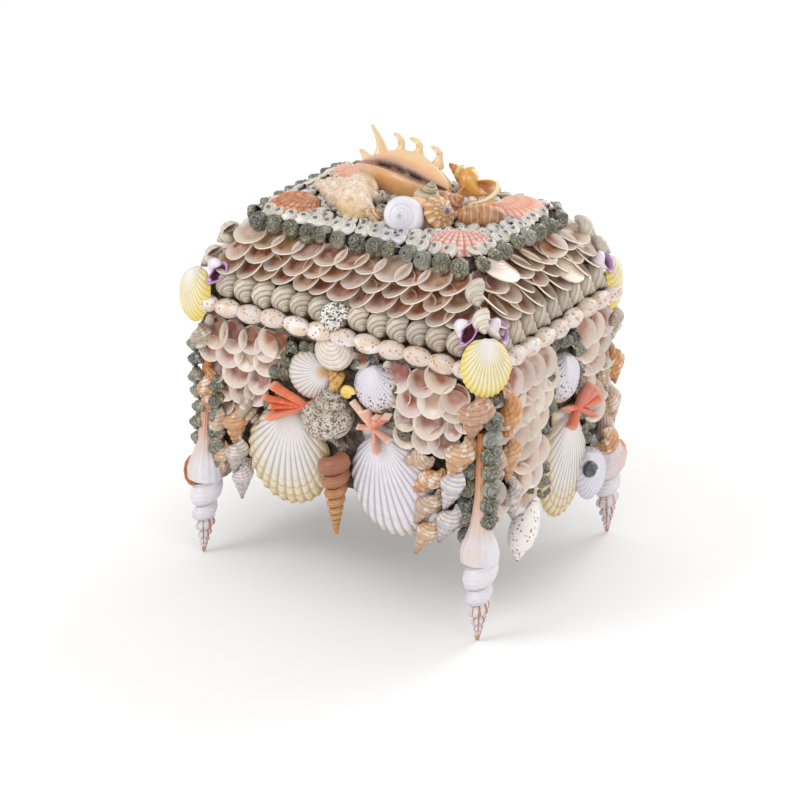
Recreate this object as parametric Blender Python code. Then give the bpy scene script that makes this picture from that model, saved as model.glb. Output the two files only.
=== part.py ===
"""A shell box: a lidded wooden box on four spindle shells, covered all over with sea shells.

Metres, +Z up. The origin lies on the floor under the middle of the box, and the front is the
long wall that faces -Y. The shells of a wall or of the lid's top are laid out in its own frame,
which stretches with it, so that neighbours stay together when the box changes size.
"""

from math import ceil, cos, hypot, pi, radians, sin, sqrt

import bmesh
import bpy
from mathutils import Matrix, Vector

MM = 0.001
GAP = 0.3 * MM

# Wooden box
BOX_LENGTH = 234 * MM
BOX_DEPTH = 172 * MM
BOX_BOTTOM = 86 * MM
BOX_RIM = 201 * MM
BOX_WALL = 7 * MM
BOX_FLOOR = 7 * MM

# Wooden lid
LID_OVERHANG = 7 * MM
LID_EDGE = 6.7 * MM
LID_RISE = 69 * MM
LID_INSET = 34 * MM
LID_WALL = 6 * MM
LIP_DEPTH = 5 * MM
LIP_THICKNESS = 6 * MM
LIP_CLEARANCE = 0.8 * MM

# Layout of the shells: its step, and how many steps the walls and the lid's top are long
STEP = 1.0 * MM
LONG_WALL_STEPS = 234
SHORT_WALL_STEPS = 172
WALL_HEIGHT_STEPS = 115
TOP_LENGTH_STEPS = 180
TOP_DEPTH_STEPS = 118

# Spindle shells that the box stands on
SPINDLE_HEIGHT = 164 * MM
SPINDLE_GIRTH = 33 * MM
SPINDLE_TIP = 6 * MM
SPINDLE_SPLAY_ALONG = 3.9 * MM
SPINDLE_SPLAY_ACROSS = 9.5 * MM
SPINDLE_STAND = 4.2 * MM

# Turret shell that hangs at the middle of a long wall
TURRET_LENGTH = 72 * MM
TURRET_GIRTH = 26 * MM
TURRET_HOLD = 35 * MM

# Flat scallops
SCALLOP_LENGTH = 82 * MM
SCALLOP_WIDTH = 68 * MM
SCALLOP_RISE = 9.5 * MM
SCALLOP_DROP = 23 * MM
SCALLOP_TILT = radians(3)
SIDE_SCALLOP_WIDTH = 66 * MM
SIDE_SCALLOP_LENGTH = 87 * MM
SIDE_SCALLOP_DROP = 39 * MM
SIDE_SCALLOP_ALONG = 23 * MM

# Knobbly turban at the middle of a long wall
TURBAN_GIRTH = 48 * MM
TURBAN_LENGTH = 52 * MM
TURBAN_DEPTH = 20 * MM
TURBAN_ABOVE = 2 * MM

# Cockles on the walls
WALL_COCKLE = 37 * MM
WALL_COCKLE_RISE = 12 * MM
SIDE_SHELL = 40 * MM
SIDE_SHELL_OUT = 12.5 * MM

# Yellow cockles on the lid corners
CORNER_COCKLE = 36 * MM
CORNER_COCKLE_LENGTH = 42 * MM
CORNER_COCKLE_RISE = 12 * MM
CORNER_COCKLE_ABOVE = 0.66
CORNER_COCKLE_TILT = radians(16)
CORNER_COCKLE_OUT = 6 * MM

# Fans on the lid top
FAN_SIZE = 46 * MM
FAN_RISE = 9 * MM
FAN_FROM_EDGE = 19 * MM

# Rows of small shells round the lid
BARREL_LENGTH = 20 * MM
BARREL_GIRTH = 12 * MM
SNAIL_LENGTH = 17 * MM
SNAIL_GIRTH = 14.6 * MM
SNAIL_HEIGHT = 13.5 * MM
DARK_LENGTH = 15 * MM
DARK_GIRTH = 14.6 * MM
DARK_HEIGHT = 62.5 * MM
BAND_BOTTOM = 21.5 * MM
BAND_PITCH = 18 * MM
BAND_RIM_OUT = 8 * MM
BAND_COURSES = 3
BAND_LIP = 1 * MM
CORNER_PINCH = 0.35

# Clusters of clam halves in the wall corners
CLUSTER_COURSES = 5
CLUSTER_PITCH = 21 * MM
CLUSTER_RIM_OUT = 11 * MM
CLUSTER_BELOW = 0.5 * MM
CLUSTER_LIP = 1 * MM

# Whelks that hang below the clam clusters
WHELK_SIDES = 5

# Shells on the lid top
SPIDER_LENGTH = 84 * MM
SPIDER_GIRTH = 41 * MM
FINGER_RISE = 48.5 * MM
FINGER_GIRTH = 7 * MM
FINGER_BOW = 3 * MM
LIP_STRIP = 6 * MM
LIP_LEAN = 3 * MM

# Sizes that follow
HALF_LENGTH = BOX_LENGTH / 2
HALF_DEPTH = BOX_DEPTH / 2
LID_BOTTOM = BOX_RIM + GAP
LID_KNEE = LID_BOTTOM + LID_EDGE
LID_TOP = LID_KNEE + LID_RISE
LID_SLOPE = hypot(LID_RISE, LID_INSET)
LID_OUT = Vector((LID_RISE, LID_INSET)) / LID_SLOPE
LID_UP = Vector((-LID_INSET, LID_RISE)) / LID_SLOPE
LID_HALF_LENGTH = HALF_LENGTH + LID_OVERHANG
LID_HALF_DEPTH = HALF_DEPTH + LID_OVERHANG
LID_TOP_LENGTH = 2 * (LID_HALF_LENGTH - LID_INSET)
LID_TOP_DEPTH = 2 * (LID_HALF_DEPTH - LID_INSET)
CLUSTER_TOP = WALL_HEIGHT_STEPS * STEP - CLUSTER_BELOW

COLOURS = {
    "dark_wood": ((0.09, 0.045, 0.025), 0.6),
    "clam": ((0.78, 0.66, 0.56), 0.4),
    "barrel_shell": ((0.75, 0.62, 0.5), 0.35),
    "grey_snail": ((0.42, 0.37, 0.31), 0.5),
    "dark_snail": ((0.13, 0.13, 0.1), 0.5),
    "white_scallop": ((0.82, 0.77, 0.68), 0.5),
    "white_cockle": ((0.82, 0.76, 0.7), 0.5),
    "yellow_cockle": ((0.85, 0.68, 0.25), 0.45),
    "orange_fan": ((0.7, 0.3, 0.16), 0.5),
    "spindle_shell": ((0.72, 0.66, 0.65), 0.4),
    "turret_shell": ((0.45, 0.24, 0.13), 0.45),
    "whelk": ((0.45, 0.3, 0.2), 0.5),
    "speckled_turban": ((0.5, 0.45, 0.4), 0.6),
    "orange_conch": ((0.75, 0.42, 0.15), 0.4),
    "pink_conch": ((0.7, 0.5, 0.4), 0.5),
    "moon_shell": ((0.75, 0.72, 0.78), 0.4),
    "orange_turban": ((0.65, 0.38, 0.18), 0.5),
    "cream_snail": ((0.5, 0.45, 0.35), 0.45),
    "brown_cask": ((0.5, 0.25, 0.1), 0.4),
}


def clear_scene():
    """Removes every object that is in the scene."""
    for old in list(bpy.data.objects):
        bpy.data.objects.remove(old)


def material(name):
    """The Principled material of one kind of shell or wood, made once."""
    found = bpy.data.materials.get(name)
    if found:
        return found
    colour, roughness = COLOURS[name]
    made = bpy.data.materials.new(name)
    made.use_nodes = True
    shader = made.node_tree.nodes["Principled BSDF"]
    shader.inputs["Base Color"].default_value = (*colour, 1)
    shader.inputs["Roughness"].default_value = roughness
    shader.inputs["Metallic"].default_value = 0
    return made


def place(name, bm, slot, matrix=None):
    """An object in the scene that holds this bmesh, moved by the matrix."""
    if matrix is not None:
        bm.transform(matrix)
    bmesh.ops.remove_doubles(bm, verts=bm.verts, dist=1e-6)
    bmesh.ops.recalc_face_normals(bm, faces=bm.faces)
    mesh = bpy.data.meshes.new(name)
    bm.to_mesh(mesh)
    bm.free()
    made = bpy.data.objects.new(name, mesh)
    made.data.materials.append(material(slot))
    bpy.context.scene.collection.objects.link(made)
    return made


def grow_ring(bm, edges, ring, points):
    """Extrudes a closed ring of edges and moves the new corners to these points."""
    grown = bmesh.ops.extrude_edge_only(bm, edges=edges)["geom"]
    fresh = {item for item in grown if isinstance(item, bmesh.types.BMVert)}
    new_ring = []
    for corner in ring:
        partner = next(e.other_vert(corner) for e in corner.link_edges if e.other_vert(corner) in fresh)
        new_ring.append(partner)
    for corner, point in zip(new_ring, points):
        corner.co = point
    pairs = zip(new_ring, new_ring[1:] + new_ring[:1])
    return new_ring, [bm.edges.get(pair) for pair in pairs]


def loft(rings, closed=False):
    """A solid whose skin runs through rings of points, each with as many points as the first."""
    bm = bmesh.new()
    first = [bm.verts.new(point) for point in rings[0]]
    first_edges = [bm.edges.new(pair) for pair in zip(first, first[1:] + first[:1])]
    ring, edges = first, first_edges
    for points in rings[1:]:
        ring, edges = grow_ring(bm, edges, ring, points)
    if closed:
        for (a, b), (c, d) in zip(zip(ring, ring[1:] + ring[:1]), zip(first, first[1:] + first[:1])):
            bm.faces.new((a, b, d, c))
    else:
        bm.faces.new(first)
        bm.faces.new(ring)
    return bm


def fused(name, pieces, slot):
    """One object made by the union of several meshes that overlap."""
    helpers = bpy.data.collections.new(name + "_pieces")
    bpy.context.scene.collection.children.link(helpers)
    base = place(name, pieces[0], slot)
    for piece in pieces[1:]:
        other = place(name + "_piece", piece, slot)
        bpy.context.scene.collection.objects.unlink(other)
        helpers.objects.link(other)
    union = base.modifiers.new("union", "BOOLEAN")
    union.operation = "UNION"
    union.operand_type = "COLLECTION"
    union.collection = helpers
    bpy.context.view_layer.update()
    graph = bpy.context.evaluated_depsgraph_get()
    mesh = bpy.data.meshes.new_from_object(base.evaluated_get(graph))
    base.modifiers.clear()
    base.data = mesh
    for other in list(helpers.objects):
        bpy.data.objects.remove(other)
    bpy.data.collections.remove(helpers)
    return base


def circle(radius, sides, height, turn=0.0, knob=0.0):
    """A level ring of points round the Z axis; knob pushes every other point out by that share."""
    points = []
    for i in range(sides):
        angle = turn + 2 * pi * i / sides
        reach = radius * (1 + knob * (i % 2))
        points.append(Vector((reach * cos(angle), reach * sin(angle), height)))
    return points


def turned(stations, sides, knobs=()):
    """A turned solid from (height, radius) stations; knobs gives the push of single stations."""
    rings = []
    for i, (height, radius) in enumerate(stations):
        knob = dict(knobs).get(i, 0.0)
        rings.append(circle(radius, sides, height, pi / sides, knob))
    return loft(rings)


def aimed(start, end, turn=0.0):
    """The matrix that lays a piece's own Z axis from start towards end."""
    direction = (Vector(end) - Vector(start)).normalized()
    lean = direction.to_track_quat("Z", "Y").to_matrix().to_4x4()
    return Matrix.Translation(start) @ lean @ Matrix.Rotation(turn, 4, "Z")


def flatten_behind(bm, level):
    """Moves every point behind the plane y = level onto it, which gives a flat back."""
    for vert in bm.verts:
        vert.co.y = min(vert.co.y, level)


def wall(side):
    """The matrix of a wall's frame: X along it, Y into it from its face, Z up from its bottom edge.

    It stretches along and up with the wall. Side 0 is the front.
    """
    long_wall = (BOX_LENGTH / LONG_WALL_STEPS, HALF_DEPTH)
    short_wall = (BOX_DEPTH / SHORT_WALL_STEPS, HALF_LENGTH)
    along, reach = (long_wall, short_wall)[side % 2]
    tall = (BOX_RIM - BOX_BOTTOM) / WALL_HEIGHT_STEPS
    stretch = Matrix.Diagonal((along / STEP, 1, tall / STEP, 1))
    return Matrix.Rotation(side * pi / 2, 4, "Z") @ Matrix.Translation((0, -reach, BOX_BOTTOM)) @ stretch


def lid_top():
    """The matrix of the frame of the lid's flat top, which stretches with it."""
    long_step, deep_step = LID_TOP_LENGTH / TOP_LENGTH_STEPS, LID_TOP_DEPTH / TOP_DEPTH_STEPS
    stretch = Matrix.Diagonal((long_step / STEP, deep_step / STEP, 1, 1))
    return Matrix.Translation((0, 0, LID_TOP + GAP)) @ stretch


def half_outline(width, length, points, spread):
    """The edge of a fan seen from outside: hinge at the top, the rest an arc of an ellipse below it."""
    edge = []
    for i in range(points):
        angle = spread * (2 * i / (points - 1) - 1)
        squeeze = sin(angle) ** 2 / (width / 2) ** 2 + cos(angle) ** 2 / (length / 2) ** 2
        reach = 2 * cos(angle) / (length / 2) / squeeze
        edge.append(Vector((reach * sin(angle), 0, -reach * cos(angle))))
    return edge


def valve(width, length, rise, points=13, spread=radians(74), rim=1.4 * MM, ribs=0.02, courses=3):
    """Half a bivalve, convex side out along -Y, flat back at y = 0, hinge at the origin, fan down."""
    edge = half_outline(width, length, points, spread)
    beak = Vector((0, 0, -0.07 * length))
    rings = [[point.copy() for point in edge]]
    for course in range(courses + 1):
        share = 1 - course / courses
        height = rim + (rise - rim) * sqrt(1 - share**2)
        ring = []
        for i, point in enumerate(edge):
            rib = 1 + ribs * (i % 2) * share
            spot = beak + (point - beak) * share * rib
            ring.append(Vector((spot.x, -height, spot.z)))
        rings.append(ring)
    for i, point in enumerate(rings[0]):
        point.x, point.z = rings[1][i].x, rings[1][i].z
    return loft(rings)


def rectangle(half_x, half_y, z):
    """The corners of a level rectangle round the Z axis."""
    signs = ((-1, -1), (1, -1), (1, 1), (-1, 1))
    return [Vector((sx * half_x, sy * half_y, z)) for sx, sy in signs]


def box_body():
    """The open wooden box: floor and four walls."""
    inner_x, inner_y = HALF_LENGTH - BOX_WALL, HALF_DEPTH - BOX_WALL
    rings = [
        rectangle(HALF_LENGTH, HALF_DEPTH, BOX_BOTTOM),
        rectangle(HALF_LENGTH, HALF_DEPTH, BOX_RIM),
        rectangle(inner_x, inner_y, BOX_RIM),
        rectangle(inner_x, inner_y, BOX_BOTTOM + BOX_FLOOR),
    ]
    place("box_body", loft(rings), "dark_wood")


def lid():
    """The hollow hipped lid with a lip that drops inside the box."""
    lip = BOX_WALL + LIP_CLEARANCE
    cavity = lip + LIP_THICKNESS
    skin = LID_WALL * LID_SLOPE / LID_RISE
    lean = LID_INSET / LID_RISE
    knee = LID_KNEE + (LID_OVERHANG + cavity - skin) / lean
    ceiling = LID_TOP - LID_WALL
    top_inset = LID_INSET - LID_OVERHANG - LID_WALL * lean + skin
    rings = [
        rectangle(LID_HALF_LENGTH - LID_INSET, LID_HALF_DEPTH - LID_INSET, LID_TOP),
        rectangle(LID_HALF_LENGTH, LID_HALF_DEPTH, LID_KNEE),
        rectangle(LID_HALF_LENGTH, LID_HALF_DEPTH, LID_BOTTOM),
        rectangle(HALF_LENGTH - lip, HALF_DEPTH - lip, LID_BOTTOM),
        rectangle(HALF_LENGTH - lip, HALF_DEPTH - lip, LID_BOTTOM - LIP_DEPTH),
        rectangle(HALF_LENGTH - cavity, HALF_DEPTH - cavity, LID_BOTTOM - LIP_DEPTH),
        rectangle(HALF_LENGTH - cavity, HALF_DEPTH - cavity, knee),
        rectangle(HALF_LENGTH - top_inset, HALF_DEPTH - top_inset, ceiling),
    ]
    place("lid", loft(rings), "dark_wood")


def spindle_feet():
    """Four spindle shells, tip down, that lean against the corners of the box and carry it."""
    girth = SPINDLE_GIRTH / 2
    stations = [
        (0, SPINDLE_TIP / 2),
        (0.08, 0.26 * girth),
        (0.13, 0.42 * girth),
        (0.155, 0.34 * girth),
        (0.205, 0.58 * girth),
        (0.235, 0.5 * girth),
        (0.29, 0.8 * girth),
        (0.32, 0.72 * girth),
        (0.385, girth),
        (0.455, 0.9 * girth),
        (0.53, 0.5 * girth),
        (0.62, 0.32 * girth),
        (1, 0.26 * girth),
    ]
    steps = [(share * SPINDLE_HEIGHT, radius) for share, radius in stations]
    knobs = {2: 0.12, 4: 0.1, 6: 0.08}
    for name, sx, sy in corners():
        foot = turned(steps, 8, knobs)
        for vert in foot.verts:
            fall = 1 - vert.co.z / SPINDLE_HEIGHT
            vert.co.x += sx * (HALF_LENGTH + SPINDLE_STAND + fall * SPINDLE_SPLAY_ALONG)
            vert.co.y += sy * (HALF_DEPTH + SPINDLE_STAND + fall * SPINDLE_SPLAY_ACROSS)
        place("foot_spindle_" + name, foot, "spindle_shell")


def corners():
    """The four corners of the box: name and the signs of X and Y."""
    return (("front_left", -1, -1), ("front_right", 1, -1), ("back_right", 1, 1), ("back_left", -1, 1))


def turret_pendants():
    """A turret shell that hangs tip down at the middle of each long wall."""
    girth = TURRET_GIRTH / 2
    whorls = 5
    stations = [(0, 0.12 * girth)]
    for whorl in range(whorls):
        base = (whorl + 0.2) / whorls
        stations.append((base, girth * (0.16 + 0.8 * base)))
        waist = (whorl + 0.95) / whorls
        stations.append((waist, girth * (0.1 + 0.76 * waist)))
    steps = [(share * TURRET_LENGTH, radius) for share, radius in stations]
    for name, side in (("front", 0), ("back", 2)):
        shell = turned(steps, 8)
        spot = Matrix.Translation((0, -girth - GAP, TURRET_HOLD - TURRET_LENGTH))
        place("turret_pendant_" + name, shell, "turret_shell", wall(side) @ spot)


def scallop_at(name, side, along, bottom, width, length):
    """A scallop against a wall, its lowest edge at this height and tilted a little off the wall."""
    shell = valve(width, length, SCALLOP_RISE, 13, radians(60), ribs=0.03)
    hinge = Matrix.Translation((along, -GAP, bottom + 1.03 * length * cos(SCALLOP_TILT)))
    place(name, shell, "white_scallop", wall(side) @ hinge @ Matrix.Rotation(-SCALLOP_TILT, 4, "X"))


def scallops():
    """Two scallops on each long wall and one on each short wall."""
    for name, side in (("front", 0), ("back", 2)):
        along = TURRET_GIRTH / 2 + 2 * GAP + SCALLOP_WIDTH / 2
        for end, spot in (("_left", -along), ("_right", along)):
            scallop_at("scallop_" + name + end, side, spot, -SCALLOP_DROP, SCALLOP_WIDTH, SCALLOP_LENGTH)
    for name, side in (("right", 1), ("left", 3)):
        spot = (SIDE_SCALLOP_ALONG, -SIDE_SCALLOP_DROP)
        scallop_at("scallop_" + name, side, *spot, SIDE_SCALLOP_WIDTH, SIDE_SCALLOP_LENGTH)


def knobbly_turbans():
    """A speckled turban with knobs at the middle of each long wall, on the beaks of the scallops."""
    girth = TURBAN_GIRTH / 2
    stations = ((0, 0.4), (0.16, 0.86), (0.36, 1.0), (0.55, 0.8), (0.78, 0.42), (1, 0.1))
    steps = [(share * TURBAN_LENGTH, reach * girth) for share, reach in stations]
    for name, side in (("front", 0), ("back", 2)):
        shell = turned(steps, 8, {1: 0.1, 2: 0.1, 3: 0.12})
        shell.transform(Matrix.Scale(TURBAN_DEPTH / girth, 4, (0, 1, 0)))
        shell.transform(Matrix.Rotation(radians(-8), 4, "Y"))
        flatten_behind(shell, 0.0)
        out = SCALLOP_RISE + SCALLOP_LENGTH * 0.5 * sin(SCALLOP_TILT) + 2 * GAP
        spot = Matrix.Translation((0, -out, TURRET_HOLD + TURBAN_ABOVE))
        place("knobbly_turban_" + name, shell, "speckled_turban", wall(side) @ spot)


def wall_cockles():
    """White cockles in the arches of the walls and a ribbed shell low on each short wall."""
    spots = {
        "white_cockle_{}": (0, -29 * STEP, 103 * STEP, 33 * STEP, 35 * STEP, 0),
        "speckled_cockle_{}": (0, 33 * STEP, 112 * STEP, WALL_COCKLE, 42 * STEP, 0),
        "side_cockle_{}": (1, 24 * STEP, 95 * STEP, 34 * STEP, 36 * STEP, 0),
        "side_ribbed_shell_{}": (1, 57 * STEP, 6 * STEP, SIDE_SHELL, 41 * STEP, SIDE_SHELL_OUT),
    }
    names = ("front", "right", "back", "left")
    for label, (parity, along, top, width, length, out) in spots.items():
        for side in (parity, parity + 2):
            shell = valve(width, length, WALL_COCKLE_RISE, 9)
            spot = Matrix.Translation((along, -GAP - out, top))
            place(label.format(names[side]), shell, "white_cockle", wall(side) @ spot)


def cluster(name, side, near, far, lowest, drop):
    """Clam halves in courses, widest at the top: near and far are its ends along the wall."""
    steps = max(2, 2 * round(abs(far - near) / CLUSTER_PITCH))
    rings = []
    for i in range(steps + 1):
        along = near + (far - near) * i / steps
        reach = abs(along - lowest) / max(abs(far - lowest), abs(near - lowest))
        height = drop * (1 - 0.72 * reach)
        ring = [Vector((along, -GAP, CLUSTER_TOP))]
        for course in range(CLUSTER_COURSES):
            zig = 0.22 if (course + i) % 2 else 0.0
            foot = CLUSTER_TOP - height * (course + 1 - zig) / CLUSTER_COURSES
            ring.append(Vector((along, -CLUSTER_RIM_OUT, foot)))
            ring.append(Vector((along, -0.45 * CLUSTER_RIM_OUT, foot + CLUSTER_LIP)))
        ring[-1].y = -GAP
        rings.append(ring)
    place(name, loft(rings), "clam", wall(side))


def clam_clusters():
    """The triangular clusters of clam halves at both ends of each wall.

    Each is (near end, far end, lowest point, drop) in steps, the first three from the wall's middle.
    """
    spots = {
        "clam_cluster_{}_left": (0, -106, -43, -92, 71),
        "clam_cluster_{}_right": (0, 54, 109, 82, 60),
        "clam_cluster_{}_near": (1, -60, -2, -34, 100),
        "clam_cluster_{}_far": (1, 42, 65, 62, 88),
    }
    names = ("front", "right", "back", "left")
    for label, (parity, *steps) in spots.items():
        for side in (parity, parity + 2):
            cluster(label.format(names[side]), side, *(step * STEP for step in steps))


def whelk(start, end, girth):
    """One whelk as a turned solid from its wide end to its tip, set against the wall."""
    length = hypot(end[0] - start[0], end[1] - start[1])
    radius = girth / 2
    stations = ((0, 0.5 * radius), (0.3 * length, radius), (0.62 * length, 0.56 * radius), (length, 0.06 * radius))
    shell = turned(stations, WHELK_SIDES)
    out = -radius * cos(pi / WHELK_SIDES) - GAP
    shell.transform(aimed((start[0], out, start[1]), (end[0], out, end[1])))
    flatten_behind(shell, -GAP)
    return shell


def whelk_groups():
    """Whelks that overlap each other below and beside the clam clusters, tips down.

    Each is (start, end, girth) in steps, with its ends as (distance from the end of the wall,
    height above the wall's bottom edge).
    """
    long_left = (
        ((10, 54), (15, 24), 18),
        ((16, 38), (10, -4), 17),
        ((26, 37), (30, 4), 19),
        ((26, 16), (29, -28), 18),
    )
    long_right = (
        ((12, 64), (23, 30), 19),
        ((19, 46), (27, 2), 20),
        ((19, 20), (30, -16), 18),
        ((27, 12), (36, -28), 17),
    )
    side_near = (
        ((13, 110), (16, 64), 19),
        ((16, 78), (22, 30), 19),
        ((20, 44), (28, -2), 18),
        ((28, 14), (40, -36), 26),
    )
    side_far = (
        ((9, 108), (10, 66), 18),
        ((11, 80), (10, 38), 18),
        ((12, 52), (11, 14), 17),
        ((13, 26), (20, 11), 15),
    )
    groups = (
        ("left", long_left, 0, 1),
        ("right", long_right, 0, -1),
        ("near", side_near, 1, 1),
        ("far", side_far, 1, -1),
    )
    names = ("front", "right", "back", "left")
    for label, spots, parity, hand in groups:
        half = (LONG_WALL_STEPS / 2, SHORT_WALL_STEPS / 2)[parity]
        for side in (parity, parity + 2):
            shells = []
            for start, end, girth in spots:
                ends = [(hand * (x - half) * STEP, z * STEP) for x, z in (start, end)]
                shells.append(whelk(*ends, girth * STEP))
            group = fused("whelks_" + names[side] + "_" + label, shells, "whelk")
            group.data.transform(wall(side))


def slope_ring(name, slot, pitch, profile):
    """A closed row round the lid, two stops to each shell of this pitch along a side.

    The profile gives, at each stop, pairs of (place on the wood, offset from it), both as
    (out, up). At the corners the offset is pinched, because a row has no mitred corner shell.
    """
    rings = []
    for side in range(4):
        turn = Matrix.Rotation(side * pi / 2, 4, "Z")
        halves = (LID_HALF_LENGTH, LID_HALF_DEPTH)
        along_half, out_half = halves if side % 2 == 0 else halves[::-1]
        count = 2 * ceil(2 * along_half / pitch)
        for stop in range(count):
            share = 2 * stop / count - 1
            ring = []
            for wood, offset in profile(stop):
                pinch = CORNER_PINCH if stop == 0 else 1
                corner = along_half + wood.x
                out = wood.x + offset.x * pinch
                along = share * corner - (offset.x * pinch if stop == 0 else 0)
                ring.append(turn @ Vector((along, -out_half - out, wood.y + offset.y)))
            rings.append(ring)
    place(name, loft(rings, closed=True), slot)


def on_slope(distance):
    """(out, up) of a point of the wood this far up the lid's slope from its knee."""
    return Vector((0, LID_KNEE)) + LID_UP * distance


def bead_profile(wood, away, girth, sides=4):
    """The profile of a row of beads on a place of the wood: thick at odd stops, narrow between."""

    def profile(stop):
        radius = girth / 2 * (1.0 if stop % 2 else 0.72)
        facing = away.angle_signed(Vector((1, 0)))
        pairs = []
        for i in range(sides):
            angle = facing + 2 * pi * i / sides
            reach = away * (radius + GAP) + Vector((cos(angle), sin(angle))) * radius
            pairs.append((wood, reach))
        return pairs

    return profile


def lid_rows():
    """The rows of barrel shells, grey snails and dark snails that run round the lid."""
    low = Vector((GAP, LID_KNEE + 0.2 * BARREL_GIRTH))
    slope_ring("lid_barrel_row", "barrel_shell", BARREL_LENGTH, bead_profile(low, Vector((1, 0)), BARREL_GIRTH))
    middle = on_slope(SNAIL_HEIGHT)
    slope_ring("lid_snail_row", "grey_snail", SNAIL_LENGTH, bead_profile(middle, LID_OUT, SNAIL_GIRTH))
    high = on_slope(DARK_HEIGHT + DARK_GIRTH / 2)
    slope_ring("lid_dark_snail_row", "dark_snail", DARK_LENGTH, bead_profile(high, LID_OUT, DARK_GIRTH))


def clam_band():
    """Three courses of clam halves on the slopes of the lid, rims out and down."""
    height = DARK_HEIGHT - BAND_BOTTOM

    def profile(stop):
        pairs = [(on_slope(BAND_BOTTOM + height), LID_OUT * GAP)]
        for course in range(BAND_COURSES):
            zig = 0.25 if (course + stop) % 2 else 0.0
            foot = BAND_BOTTOM + height * (1 - (course + 1 - zig) / BAND_COURSES)
            pairs.append((on_slope(foot), LID_OUT * BAND_RIM_OUT))
            pairs.append((on_slope(foot + BAND_LIP), LID_OUT * 0.4 * BAND_RIM_OUT))
        pairs[-1] = (on_slope(BAND_BOTTOM + BAND_LIP), LID_OUT * GAP)
        return pairs

    slope_ring("lid_clam_band", "clam", BAND_PITCH, profile)


def corner_cockles():
    """A yellow cockle over each lower corner of the lid, leaned back against the slopes."""
    for name, sx, sy in corners():
        shell = valve(CORNER_COCKLE, CORNER_COCKLE_LENGTH, CORNER_COCKLE_RISE, 11, ribs=0.03)
        shell.transform(Matrix.Translation((0, 0, CORNER_COCKLE_ABOVE * CORNER_COCKLE_LENGTH)))
        shell.transform(Matrix.Rotation(-CORNER_COCKLE_TILT, 4, "X"))
        heading = Vector((sx, sy, 0)).normalized()
        knee = Vector((sx * LID_HALF_LENGTH, sy * LID_HALF_DEPTH, LID_KNEE))
        facing = heading.to_track_quat("-Y", "Z").to_matrix().to_4x4()
        spot = Matrix.Translation(knee + heading * CORNER_COCKLE_OUT)
        place("yellow_cockle_" + name, shell, "yellow_cockle", spot @ facing)


def lid_fans():
    """An orange fan that lies on each corner of the lid's flat top."""
    for name, sx, sy in corners():
        shell = valve(FAN_SIZE, 0.9 * FAN_SIZE, FAN_RISE, 11, radians(62), ribs=0.03)
        shell.transform(Matrix.Rotation(radians(-90), 4, "X"))
        heading = Vector((sx * 0.6, sy, 0)).normalized()
        turn = heading.to_track_quat("-Y", "Z").to_matrix().to_4x4()
        along = TOP_LENGTH_STEPS / 2 * STEP - FAN_FROM_EDGE
        across = TOP_DEPTH_STEPS / 2 * STEP - FAN_FROM_EDGE
        hinge = Vector((sx * along, sy * across, 0)) - heading * 0.42 * FAN_SIZE
        place("lid_fan_" + name, shell, "orange_fan", lid_top() @ Matrix.Translation(hinge) @ turn)


def spine(root, tip, thickness, bow):
    """A bent finger from root to tip that swells at its root."""
    root, tip = Vector(root), Vector(tip)
    rings = []
    for share, girth in ((0, 1.0), (0.5, 0.6), (1, 0.3)):
        middle = root.lerp(tip, share) + Vector(bow) * 4 * share * (1 - share)
        ring = circle(thickness / 2 * girth, 5, 0)
        lean = (tip - root).to_track_quat("Z", "Y").to_matrix()
        rings.append([middle + lean @ point for point in ring])
    return loft(rings)


def plate(path, height, thickness):
    """A standing strip through the points of a path, each with its own top height."""
    rings = []
    for x, y, z, top in path:
        ring = [Vector((x, y - thickness / 2, z)), Vector((x, y + thickness / 2, z))]
        ring += [Vector((x, y + thickness / 2 + height, z + top)), Vector((x, y - thickness / 2 + height, z + top))]
        rings.append(ring)
    return loft(rings)


def spider_conch():
    """The big orange conch on top, its mouth to the front and its fingers up."""
    half = SPIDER_GIRTH / 2
    stations = ((0, 0.16), (0.12, 0.42), (0.3, 0.78), (0.5, 1.0), (0.7, 0.86), (0.84, 0.5), (1, 0.1))
    body = turned([(share * SPIDER_LENGTH, reach * half) for share, reach in stations], 8)
    middle = half * 0.8
    body.transform(aimed((-61 * STEP, 30 * STEP, middle + 3 * STEP), (22 * STEP, 26 * STEP, middle - 5 * STEP)))
    for vert in body.verts:
        vert.co.z = max(vert.co.z, 0)
    lip_top = FINGER_RISE - 18 * STEP
    rise = lip_top - middle
    crest = ((-50, 30, 0.95), (-25, 33, 1), (4, 34, 0.8))
    lip = plate([(x * STEP, y * STEP, middle, rise * share) for x, y, share in crest], LIP_LEAN, LIP_STRIP)
    tips = (
        ((-45, 33), 3, (-52, 36), 0),
        ((-31, 35), 2, (-34, 37), 4),
        ((-18, 36), 2, (-21, 38), 6),
        ((0, 36), 4, (-2, 38), 9),
    )
    fingers = []
    for (x0, y0), sunk, (x1, y1), below in tips:
        root = (x0 * STEP, y0 * STEP, lip_top - sunk * STEP)
        tip = (x1 * STEP, y1 * STEP, FINGER_RISE - below * STEP)
        fingers.append(spine(root, tip, FINGER_GIRTH, (FINGER_BOW, 0, 0)))
    conch = fused("spider_conch", [body, lip, *fingers], "orange_conch")
    conch.data.transform(lid_top())


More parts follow.
